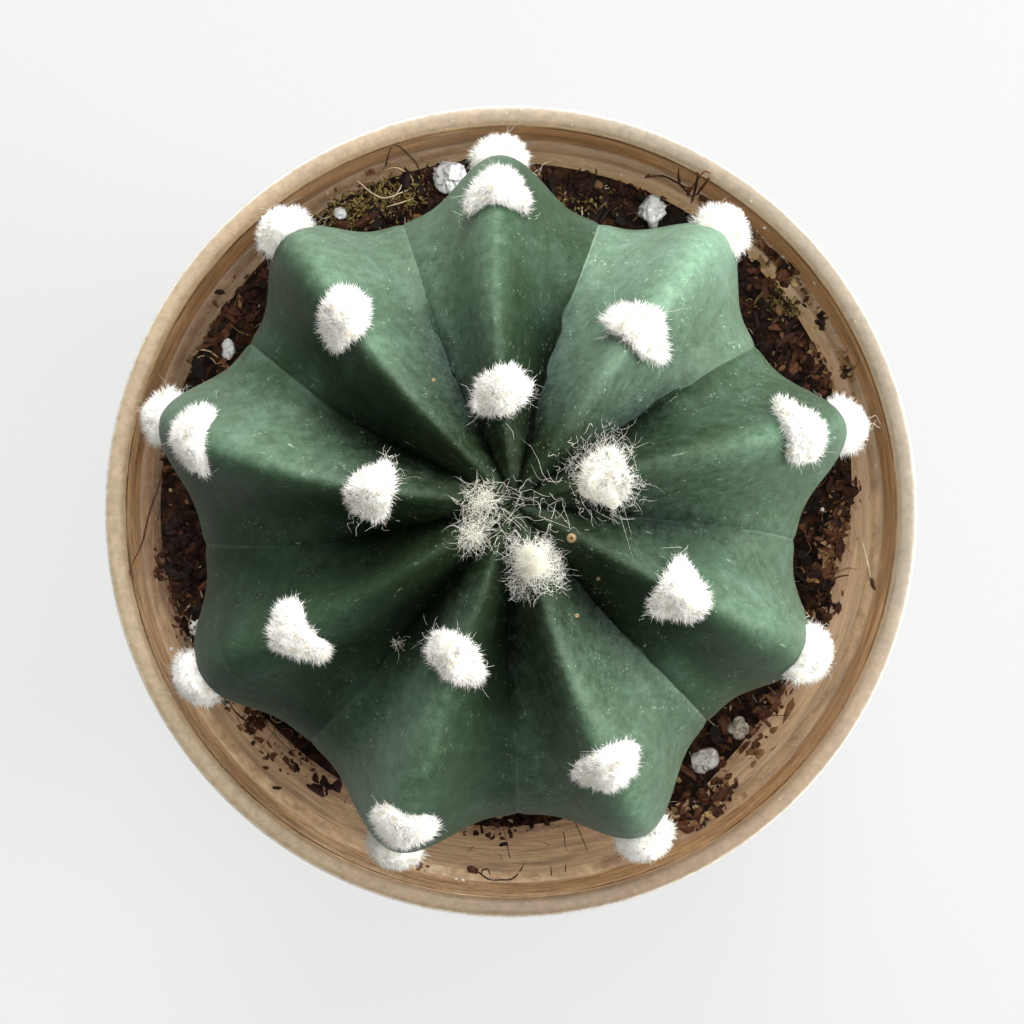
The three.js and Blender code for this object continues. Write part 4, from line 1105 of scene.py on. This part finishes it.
def flakes(centres, sizes, tilt, random, rows=2, columns=6):
    """Angular crumbs: small balls of a few facets, their corners moved in and out at random, stretched to
    a length, a width and a thickness, and laid down with a random turn and tilt."""
    count = len(centres)
    theta = np.linspace(0, np.pi, rows + 2)[:, None]
    phi = np.linspace(0, 2 * np.pi, columns, endpoint=False)[None, :]
    ball = np.stack([np.sin(theta) * np.cos(phi), np.sin(theta) * np.sin(phi), np.cos(theta) + 0 * phi], -1)
    corners = np.concatenate([ball[1:-1].reshape(-1, 3), [[0, 0, 1], [0, 0, -1]]])
    local = corners * random.uniform(0.65, 1.15, (count, len(corners), 1)) * (sizes / 2)[:, None]
    upwards = unit(np.array([0, 0, 1]) + tilt * random.normal(size=(count, 3)))
    forwards = unit(np.cross(upwards, random.normal(size=(count, 3))))
    turn = np.stack([forwards, np.cross(upwards, forwards), upwards], 1)
    points = centres[:, None] + local @ turn
    ring = np.arange(columns)
    beside = (ring + 1) % columns
    top = np.stack([np.full(columns, rows * columns), ring, beside], -1)
    low = (rows - 1) * columns
    foot = np.stack([low + ring, np.full(columns, rows * columns + 1), low + beside], -1)
    base = (np.arange(count) * len(corners))[:, None, None]
    parts = grid_faces(rows, columns), top, foot
    return points.reshape(-1, 3), [(part + base).reshape(-1, part.shape[1]) for part in parts]


# Expanded glass: matt and white, with shaded bubbles; an earthy crust covers the grains that lie low
PERLITE_BUBBLES = ((0.04, "#b8aa94"), (0.16, "#ffffff"))
PERLITE_CRUST = ((0.38, "#8a6f50"), (0.56, "#f4e8d4"))
CRUST_HEIGHTS = (55 * MM, 50 * MM)

expanded, tree, shader = new_material("expanded_perlite")
place = node(tree, "TexCoord").outputs["Object"]
bubbles = node(tree, "TexVoronoi", {"Vector": place, "Scale": 1 / (0.4 * MM)})
tone = node(tree, "ValToRGB", {"Fac": bubbles}, stops=PERLITE_BUBBLES)
level = node(tree, "SeparateXYZ", {"Vector": place})
soaked = node(tree, "MapRange", (level.outputs["Z"], CRUST_HEIGHTS[0], CRUST_HEIGHTS[1], 0, 0.85))
crust = node(tree, "TexNoise", {"Vector": place, "Scale": 1 / (0.6 * MM), "Detail": 5.0, "Roughness": 0.7})
earthy = node(tree, "ValToRGB", {"Fac": crust}, stops=PERLITE_CRUST)
stained = node(tree, "MixRGB", (soaked, tone, earthy))
relief = node(tree, "Bump", {"Height": bubbles, "Strength": 0.5, "Distance": 0.15 * MM})
feed(shader, {"Base Color": stained, "Roughness": 0.8, "Normal": relief})

for seed, name in enumerate(GRAIN_NODES):
    low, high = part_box(name)
    points, faces = pebble([c / MM for c in low], [c / MM for c in high], 300 + 7 * seed)
    grain = new_mesh(f"white_{name}", points, faces, expanded)
    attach(grain, "root")
    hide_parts(name)

loose_random = np.random.default_rng(23)
speck_at = np.array(SPECK_PLACES)
speck_size = loose_random.uniform(*SPECK_SIZES, (len(speck_at), 1)) * 2
speck_at = np.column_stack([speck_at, ground(speck_at[:, 0], speck_at[:, 1]) + 0.25])
specks = new_mesh("perlite_specks", *flakes(speck_at, speck_size * np.ones(3), 1.0, loose_random, 4, 8),
                  expanded)
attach(specks, "root")


# Bark chips: chips of pine bark, split into angular shards that hold together. They lean on the collar
# and stand on the pot's ledge.
CHIP_NODES = [f"bark_chip_{number}" for number in range(1, 5)]
CHIP_SHARDS = 14

# Damp plant matter: near black peat, red brown bark, and amber and straw where it is thin and dry; each
# bit has one shade of its own
LITTER_SHADES = ((0.05, "#1a100b"), (0.22, "#46281c"), (0.4, "#774a31"), (0.6, "#a67c52"),
                 (0.78, "#cdab78"), (0.95, "#f3e6c4"))

litter, tree, shader = new_material("bark_peat_and_straw")
place = node(tree, "TexCoord").outputs["Object"]
layers = node(tree, "TexNoise", {"Vector": place, "Scale": 1 / (0.6 * MM), "Detail": 6.0, "Roughness": 0.7})
shade = node(tree, "Attribute", attribute_name="shade").outputs["Fac"]
uneven = node(tree, "MapRange", (layers, 0.3, 0.7, -0.1, 0.1))
mixed = node(tree, "Math", (shade, uneven), operation="ADD")
tone = node(tree, "ValToRGB", {"Fac": mixed}, stops=LITTER_SHADES)
relief = node(tree, "Bump", {"Height": layers, "Strength": 0.5, "Distance": 0.15 * MM})
feed(shader, {"Base Color": tone, "Roughness": 0.75, "Specular IOR Level": 0.35, "Normal": relief})

chip_random = np.random.default_rng(29)
for name in CHIP_NODES:
    low, high = (np.array(corner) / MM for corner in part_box(name))
    across = (high - low).mean()
    centres = (low + high) / 2 + (high - low) * chip_random.uniform(-0.3, 0.3, (CHIP_SHARDS, 3))
    shards = across * chip_random.uniform((0.3, 0.2, 0.12), (0.8, 0.5, 0.3), (CHIP_SHARDS, 3))
    points, faces = flakes(centres, shards, 0.9, chip_random, 3, 7)
    shade = np.repeat(chip_random.uniform(0.02, 0.85, CHIP_SHARDS) ** 1.5, len(points) // CHIP_SHARDS)
    chip = new_mesh(f"leaning_{name}", points, faces, litter, smooth=False, values={"shade": shade})
    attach(chip, "root")
    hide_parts(name)


# Loose flakes: crumbs of bark and peat washed together in heaps on the mix, the ledge and the wall,
# and strewn all over the mix. One heap of near black flakes at the left is a painted shadow: it stands
# for the stem's shadow on the mix there.

# A heap's place, spread and number of flakes, their least and greatest size, and their shades
HEAPS = [
    (3.1, 37.0, 0.8, 14, 0.6, 1.6, 0.2, 0.5), (8.6, 35.8, 1.7, 40, 0.5, 1.5, 0.0, 0.35),
    (14.0, 34.9, 1.2, 24, 0.5, 1.4, 0.1, 0.4), (19.8, 34.6, 0.7, 18, 0.4, 1.3, 0.2, 0.5),
    (24.3, 31.7, 0.9, 30, 0.5, 1.5, 0.2, 0.8), (26.5, 30.3, 0.8, 26, 0.5, 1.6, 0.15, 0.9),
    (28.6, 27.9, 0.9, 30, 0.6, 1.9, 0.1, 0.8), (30.6, 25.7, 0.8, 26, 0.5, 1.5, 0.1, 0.75),
    (26.0, 26.2, 1.3, 50, 0.6, 2.0, 0.0, 0.4), (28.0, 23.8, 1.4, 50, 0.6, 2.0, 0.0, 0.6),
    (32.3, 23.0, 0.8, 24, 0.5, 1.6, 0.2, 0.85), (30.5, 18.0, 1.5, 50, 0.6, 2.2, 0.0, 0.45),
    (33.0, 14.5, 1.5, 50, 0.6, 2.2, 0.05, 0.55), (36.3, 16.0, 0.8, 24, 0.5, 1.7, 0.4, 0.9),
    (37.5, 2.2, 0.6, 16, 0.7, 2.2, 0.1, 0.35), (36.6, -0.6, 0.9, 34, 0.6, 1.9, 0.1, 0.6),
    (35.9, -3.4, 1.1, 44, 0.6, 2.0, 0.15, 0.75), (35.2, -6.0, 1.0, 30, 0.5, 1.8, 0.1, 0.6),
    (35.6, -9.3, 0.9, 30, 0.7, 2.2, 0.0, 0.3), (34.9, -11.6, 0.9, 28, 0.7, 2.2, 0.0, 0.35),
    (29.0, -22.0, 1.2, 30, 0.8, 2.4, 0.25, 0.5), (26.6, -26.4, 0.8, 24, 0.6, 1.8, 0.2, 0.7),
    (23.2, -30.6, 0.9, 34, 0.6, 1.9, 0.1, 0.75), (21.2, -32.0, 0.9, 38, 0.6, 2.0, 0.1, 0.8),
    (20.6, -32.4, 1.1, 60, 1.0, 2.6, 0.0, 0.45), (22.6, -31.0, 0.9, 40, 0.9, 2.4, 0.0, 0.5),
    (24.6, 30.6, 1.1, 40, 0.3, 0.9, 0.5, 1.0), (29.3, 26.6, 0.9, 44, 0.3, 0.9, 0.45, 1.0),
    (26.9, 29.3, 0.6, 26, 0.3, 0.8, 0.5, 1.0), (33.6, 16.4, 1.3, 40, 0.4, 1.3, 0.3, 0.85),
    (35.4, 12.8, 0.9, 30, 0.4, 1.3, 0.35, 0.8), (36.2, -1.8, 1.1, 44, 0.5, 1.5, 0.4, 0.8),
    (35.2, -5.0, 1.1, 44, 0.6, 1.7, 0.35, 0.85), (33.4, -12.6, 1.0, 30, 0.5, 1.4, 0.2, 0.7),
    (31.2, -18.4, 0.9, 24, 0.5, 1.3, 0.3, 0.8), (24.0, 30.9, 0.8, 24, 0.8, 1.8, 0.1, 0.5),
    (27.3, 29.2, 0.8, 24, 0.8, 1.8, 0.1, 0.55), (29.4, 27.1, 0.8, 24, 0.8, 1.8, 0.1, 0.5),
    (19.4, -33.2, 0.9, 34, 0.6, 1.8, 0.15, 0.8), (17.6, -33.9, 0.6, 16, 0.5, 1.5, 0.3, 0.75),
    # The first heap on the next line, of near black flakes, is a painted shadow where the stem shades the
    # mix
    (-35.4, -4.2, 1.5, 50, 0.6, 2.0, 0.0, 0.1), (-1.2, -35.7, 1.6, 40, 0.5, 1.6, 0.0, 0.3),
    (-10.6, -36.9, 0.7, 26, 0.4, 1.1, 0.5, 0.95), (-9.9, -38.3, 0.4, 8, 0.6, 1.2, 0.25, 0.4),
    (-4.1, -38.5, 0.25, 5, 0.7, 1.4, 0.15, 0.3), (-20.9, -30.8, 0.5, 16, 1.0, 2.2, 0.02, 0.25),
    (-28.9, -23.6, 0.7, 44, 0.6, 2.0, 0.1, 0.55), (-24.0, -28.0, 0.9, 30, 0.4, 1.4, 0.05, 0.35),
    (-26.6, -26.8, 0.6, 16, 0.4, 1.1, 0.15, 0.5), (-31.2, -21.2, 0.6, 14, 0.4, 1.1, 0.1, 0.5),
    (-35.6, -13.0, 0.7, 22, 0.5, 1.6, 0.02, 0.35), (-36.3, -10.6, 0.6, 18, 0.5, 1.6, 0.05, 0.4),
    (-36.9, 5.6, 0.7, 12, 0.5, 1.3, 0.1, 0.5), (-38.0, -5.8, 0.8, 26, 0.5, 1.5, 0.1, 0.3),
    (-36.7, -8.7, 0.7, 14, 0.5, 1.5, 0.05, 0.3), (-29.0, 22.6, 1.8, 40, 0.6, 2.2, 0.1, 0.35),
    (-32.0, 19.0, 1.1, 20, 0.6, 1.7, 0.15, 0.4), (-26.6, 25.6, 1.1, 18, 0.6, 1.8, 0.1, 0.35),
    (-34.6, 16.2, 0.8, 14, 0.5, 1.3, 0.25, 0.7), (-14.5, 35.0, 2.2, 44, 0.4, 1.3, 0.1, 0.5),
    (-10.5, 35.5, 1.4, 20, 0.5, 1.4, 0.05, 0.3),
]
# Heaps lie drawn out along the wall: their spread outwards and sideways
HEAP_STRETCH = np.array([0.55, 1.2])
COMMON_FLAKES = 2000
COMMON_SIZES = (0.35, 2.4)
COMMON_BAND = 7
WALL_GRIT = 70
GRIT_RADIUS = 39.9
FLAKE_LIMIT = 40.1

heap_rows = np.repeat(np.array(HEAPS), np.array(HEAPS)[:, 3].astype(int), axis=0)
heap_out = unit(heap_rows[:, :2])
heap_shift = loose_random.normal(size=(len(heap_rows), 2)) * heap_rows[:, 2:3] * HEAP_STRETCH
heap_aside = heap_out[:, ::-1] * np.array([-1, 1])
heap_flat = heap_rows[:, :2] + heap_out * heap_shift[:, :1] + heap_aside * heap_shift[:, 1:]
heap_least, heap_most = heap_rows[:, 4], heap_rows[:, 5]
heap_size = heap_least + (heap_most - heap_least) * loose_random.uniform(0, 1, len(heap_rows)) ** 2
heap_dark, heap_pale = heap_rows[:, 6], heap_rows[:, 7]
heap_shade = heap_dark + (heap_pale - heap_dark) * loose_random.uniform(0, 1, len(heap_rows))
common_turn = loose_random.uniform(0, 2 * np.pi, COMMON_FLAKES)
common_way = np.column_stack([np.cos(common_turn), np.sin(common_turn)])
common_edge = wall_inside(mix_height(*(38 * common_way).T)) - 0.7
common_flat = common_way * (common_edge - COMMON_BAND * loose_random.uniform(0, 1, COMMON_FLAKES))[:, None]
least, most = COMMON_SIZES
common_size = least + (most - least) * loose_random.uniform(0, 1, COMMON_FLAKES) ** 2.4
common_shade = loose_random.uniform(0, 1, COMMON_FLAKES) ** 2.6 * np.minimum(1, 0.75 / common_size)
grit_turn = loose_random.uniform(0, 2 * np.pi, WALL_GRIT)
grit_flat = GRIT_RADIUS * np.column_stack([np.cos(grit_turn), np.sin(grit_turn)])
grit_flat = grit_flat * loose_random.uniform(0.965, 1.008, (WALL_GRIT, 1))
grit_size = loose_random.uniform(0.12, 0.3, WALL_GRIT)
grit_shade = loose_random.uniform(0.1, 0.6, WALL_GRIT)
flake_flat = np.concatenate([heap_flat, common_flat, grit_flat])
flake_size = np.concatenate([heap_size, common_size, grit_size])
flake_shade = np.concatenate([heap_shade, common_shade, grit_shade])
flake_reach = np.linalg.norm(flake_flat, axis=1)
flake_flat = flake_flat * (np.minimum(flake_reach, FLAKE_LIMIT - 0.3 * flake_size) / flake_reach)[:, None]
flake_lift = flake_size * loose_random.uniform(0.0, 0.35, len(flake_size))
flake_up = ground(flake_flat[:, 0], flake_flat[:, 1]) + flake_lift
flake_shape = loose_random.uniform((0.9, 0.35, 0.18), (1.8, 0.8, 0.5), (len(flake_size), 3))
flake_sizes = flake_size[:, None] * flake_shape
flake_points, flake_faces = flakes(np.column_stack([flake_flat, flake_up]), flake_sizes, 0.65, loose_random)
flake_shades = np.repeat(flake_shade, len(flake_points) // len(flake_size))
crumb = new_mesh("loose_bark_and_peat", flake_points, flake_faces, litter, smooth=False,
                 values={"shade": flake_shades})
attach(crumb, "root")


# Fibres: straw, needles and fine dead roots that came with the mix. Each listed one runs through its
# places at a height over the ground, and the rest are strewn.

# A fibre's half thickness, shade and height over the ground, then its places
FIBRES = [
    (0.09, 0.95, 0.9, (-16.6, 35.7), (-15.2, 34.5), (-13.8, 33.7), (-12.4, 34.2), (-11.0, 34.9)),
    (0.08, 0.92, 0.8, (-13.6, 32.9), (-12.0, 33.3), (-10.4, 33.9)),
    (0.07, 0.9, 0.9, (-13.1, 33.5), (-12.0, 34.8), (-11.7, 35.8)),
    (0.06, 0.85, 1.2, (-14.4, 35.6), (-13.4, 36.9), (-11.9, 37.0), (-10.6, 36.2), (-10.6, 34.9)),
    (0.1, 0.12, 0.5, (-13.8, 36.8), (-12.9, 38.2), (-11.6, 38.6), (-10.4, 37.9), (-9.9, 36.9)),
    (0.08, 0.2, 0.3, (-12.6, 39.2), (-11.8, 39.4), (-11.1, 38.9)),
    (0.11, 0.3, 0.3, (-37.8, 5.0), (-38.5, 2.0), (-38.9, 0.2), (-39.5, -2.4), (-39.8, -4.1), (-39.95, -6.2),
     (-40.0, -8.0)),
    (0.05, 0.35, 0.2, (-38.6, -0.9), (-38.5, -3.0), (-38.3, -5.3)),
    (0.07, 0.85, 0.6, (-36.5, -9.5), (-35.9, -10.7), (-35.2, -12.0)),
    (0.07, 0.85, 0.6, (-35.0, -10.1), (-35.7, -11.0), (-36.3, -12.2)),
    (0.06, 0.8, 0.9, (-34.8, -11.0), (-35.2, -12.4), (-34.9, -13.4)),
    (0.09, 0.85, 0.5, (-34.9, 17.1), (-33.8, 17.6), (-32.6, 17.4), (-31.7, 16.6)),
    (0.08, 0.8, 0.4, (-34.5, 16.4), (-33.5, 17.0), (-32.4, 16.6), (-31.9, 15.8)),
    (0.07, 0.5, 0.5, (-29.6, 24.0), (-30.2, 21.6), (-30.4, 19.6)),
    (0.08, 0.9, 0.3, (38.2, -2.9), (38.4, -4.6), (38.5, -5.9), (38.8, -7.3)),
    (0.3, 0.2, 0.3, (38.8, -7.2), (39.0, -7.8), (39.1, -8.4)),
    (0.1, 0.25, 0.3, (35.8, -7.9), (36.5, -7.2), (37.2, -7.0)),
    (0.12, 0.12, 0.3, (-4.3, -38.5), (-3.3, -38.9), (-2.7, -39.6), (-1.7, -39.9), (-0.9, -39.5),
     (-0.3, -39.9), (0.7, -39.2), (1.6, -38.1)),
    (0.09, 0.15, 0.25, (-3.1, -39.3), (-3.2, -38.7), (-2.5, -38.6), (-2.2, -39.2)),
    (0.07, 0.1, 0.2, (4.3, -38.4), (4.35, -38.9), (4.3, -39.4)),
    (0.07, 0.1, 0.2, (5.9, -38.2), (5.85, -38.6), (5.8, -38.9)),
    (0.06, 0.4, 0.15, (34.6, 19.5), (35.7, 18.6), (36.1, 17.5), (35.7, 16.6)),
    (0.06, 0.3, 0.15, (35.9, 17.4), (36.8, 16.4), (36.9, 15.4), (36.4, 14.6)),
    (0.06, 0.35, 0.15, (36.5, 14.9), (37.3, 14.1), (37.5, 13.2)),
    (0.12, 0.22, 0.5, (14.4, 36.0), (16.4, 36.2), (18.2, 35.2), (19.6, 34.6)),
    (0.16, 0.26, 0.5, (19.5, 33.4), (19.8, 34.6), (19.3, 36.2)),
    (0.15, 0.3, 0.6, (19.8, 34.0), (20.8, 34.9), (21.2, 36.0)),
    (0.14, 0.2, 0.6, (19.6, 33.8), (18.3, 35.0), (17.6, 36.3)),
    (0.12, 0.32, 1.0, (20.2, 33.4), (21.3, 33.6), (22.0, 33.2)),
    (0.12, 0.3, 1.0, (19.4, 34.8), (20.3, 35.6), (21.4, 35.0)),
    (0.1, 0.12, 0.2, (-34.6, -21.6), (-35.0, -20.9), (-35.2, -20.2)),
    (0.1, 0.15, 0.3, (-31.2, -21.0), (-30.4, -22.2), (-29.0, -23.6), (-28.4, -24.0)),
    (0.08, 0.6, 0.8, (-30.2, -22.6), (-29.2, -24.2), (-28.2, -24.6)),
]
FIBRE_STEPS = 14
STREWN_FIBRES = 260
STREWN_LENGTHS = (0.8, 4.0)
STREWN_LIMIT = 38.2


def fibre_path(places, over, steps):
    """A smooth line through a few places in plan, laid over the ground and lifted most in its middle."""
    at = np.linspace(0, 1, len(places))
    t = np.linspace(0, 1, steps)
    x, y = (np.interp(t, at, np.array(places)[:, axis]) for axis in (0, 1))
    soft = np.ones(3) / 3
    x[1:-1], y[1:-1] = np.convolve(x, soft, "valid"), np.convolve(y, soft, "valid")
    level = ground(x, y)
    level[1:-1] = np.maximum(level[1:-1], np.convolve(level, soft, "valid"))
    return np.column_stack([x, y, level + over * (0.3 + 0.7 * np.sin(np.pi * t))])


listed = np.array([fibre_path(fibre[3:], fibre[2], FIBRE_STEPS) for fibre in FIBRES])
swelling = 1 - 0.5 * np.linspace(-1, 1, FIBRE_STEPS) ** 2
listed_radius = np.array([fibre[0] for fibre in FIBRES])[:, None] * swelling
listed_shade = np.array([fibre[1] for fibre in FIBRES])
turn = loose_random.uniform(0, 2 * np.pi, STREWN_FIBRES)
reach = loose_random.uniform(31.5, 38, STREWN_FIBRES)
root = np.column_stack([reach * np.cos(turn), reach * np.sin(turn)])
root = np.column_stack([root, ground(root[:, 0], root[:, 1]) + 0.2])
way = unit(loose_random.normal(size=(STREWN_FIBRES, 3)) * np.array([1, 1, 0.3]))
least, most = STREWN_LENGTHS
long = least + (most - least) * loose_random.uniform(0, 1, STREWN_FIBRES) ** 2
strewn = hair_paths(root, way, long, 8, 0.35, loose_random)
strewn_reach = np.linalg.norm(strewn[..., :2], axis=-1, keepdims=True)
strewn[..., :2] *= np.minimum(1, STREWN_LIMIT / strewn_reach)
strewn[..., 2] = np.maximum(strewn[..., 2], ground(strewn[..., 0], strewn[..., 1]) + 0.05)
strewn_radius = loose_random.uniform(0.03, 0.08, (STREWN_FIBRES, 1)) * np.linspace(1, 0.5, 8)
strewn_shade = loose_random.uniform(0.1, 0.95, STREWN_FIBRES)
parts = [tubes(listed, listed_radius, 5), tubes(strewn, strewn_radius, 4)]
shades = np.concatenate([np.repeat(listed_shade, len(parts[0][0]) // len(listed)),
                         np.repeat(strewn_shade, len(parts[1][0]) // len(strewn))])
fibres_piece = new_mesh("straw_and_fine_roots", *join(parts), litter, values={"shade": shades})
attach(fibres_piece, "root")


# Moss: a small cushion of living moss on the mix between two ribs, and a smaller one to the right.
# It is hundreds of short upright shoots, yellow green at their tips and brown below.

# A patch's place, its spread along and across the picture, and its number of shoots
MOSS_PATCHES = [(-19.0, 32.2, 1.3, 0.9, 90), (-16.0, 33.0, 1.5, 1.0, 150), (-13.0, 34.2, 1.4, 1.0, 120),
                (-10.2, 34.4, 1.0, 1.2, 60), (29.0, 23.0, 1.2, 0.9, 80), (31.0, 22.0, 0.9, 0.6, 50),
                (8.6, 33.6, 2.0, 1.0, 50)]
MOSS_HEIGHTS = (0.5, 1.5)
MOSS_SHADES = ((0.05, "#2c2112"), (0.3, "#64522a"), (0.55, "#b09c5a"))

moss_rows = np.repeat(np.array(MOSS_PATCHES), np.array(MOSS_PATCHES)[:, 4].astype(int), axis=0)
moss_flat = moss_rows[:, :2] + loose_random.normal(size=(len(moss_rows), 2)) * moss_rows[:, 2:4]
moss_reach = np.linalg.norm(moss_flat, axis=1, keepdims=True)
moss_flat = moss_flat * np.minimum(1, STREWN_LIMIT / moss_reach)
moss_root = np.column_stack([moss_flat, ground(moss_flat[:, 0], moss_flat[:, 1]) - 0.1])
moss_way = unit(np.array([0, 0, 0.8]) + 0.6 * loose_random.normal(size=(len(moss_rows), 3)))
moss_way[:, 2] = np.abs(moss_way[:, 2])
moss_height = loose_random.uniform(*MOSS_HEIGHTS, len(moss_rows))
shoots = hair_paths(moss_root, moss_way, moss_height, 5, 0.25, loose_random)
shoot_radius = loose_random.uniform(0.07, 0.16, (len(shoots), 1)) * np.array([0.8, 1.0, 1.1, 0.8, 0.3])

# Living leaves: matt, yellow green where they reach the light and brown at their foot
living, tree, shader = new_material("living_moss")
height = node(tree, "Attribute", attribute_name="height").outputs["Fac"]
place = node(tree, "TexCoord").outputs["Object"]
patchy = node(tree, "TexNoise", {"Vector": place, "Scale": 1 / (1.5 * MM), "Detail": 3.0})
risen = node(tree, "Math", (height, patchy), operation="MULTIPLY")
tone = node(tree, "ValToRGB", {"Fac": risen}, stops=MOSS_SHADES)
feed(shader, {"Base Color": tone, "Roughness": 0.8})
moss_points, moss_faces = tubes(shoots, shoot_radius, 4)
shoot_height = np.append(np.repeat(np.linspace(0, 0.9, 4), 4), 1.0)
moss = new_mesh("moss_cushions", moss_points, moss_faces, living,
                values={"height": np.tile(shoot_height, len(shoots))})
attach(moss, "root")
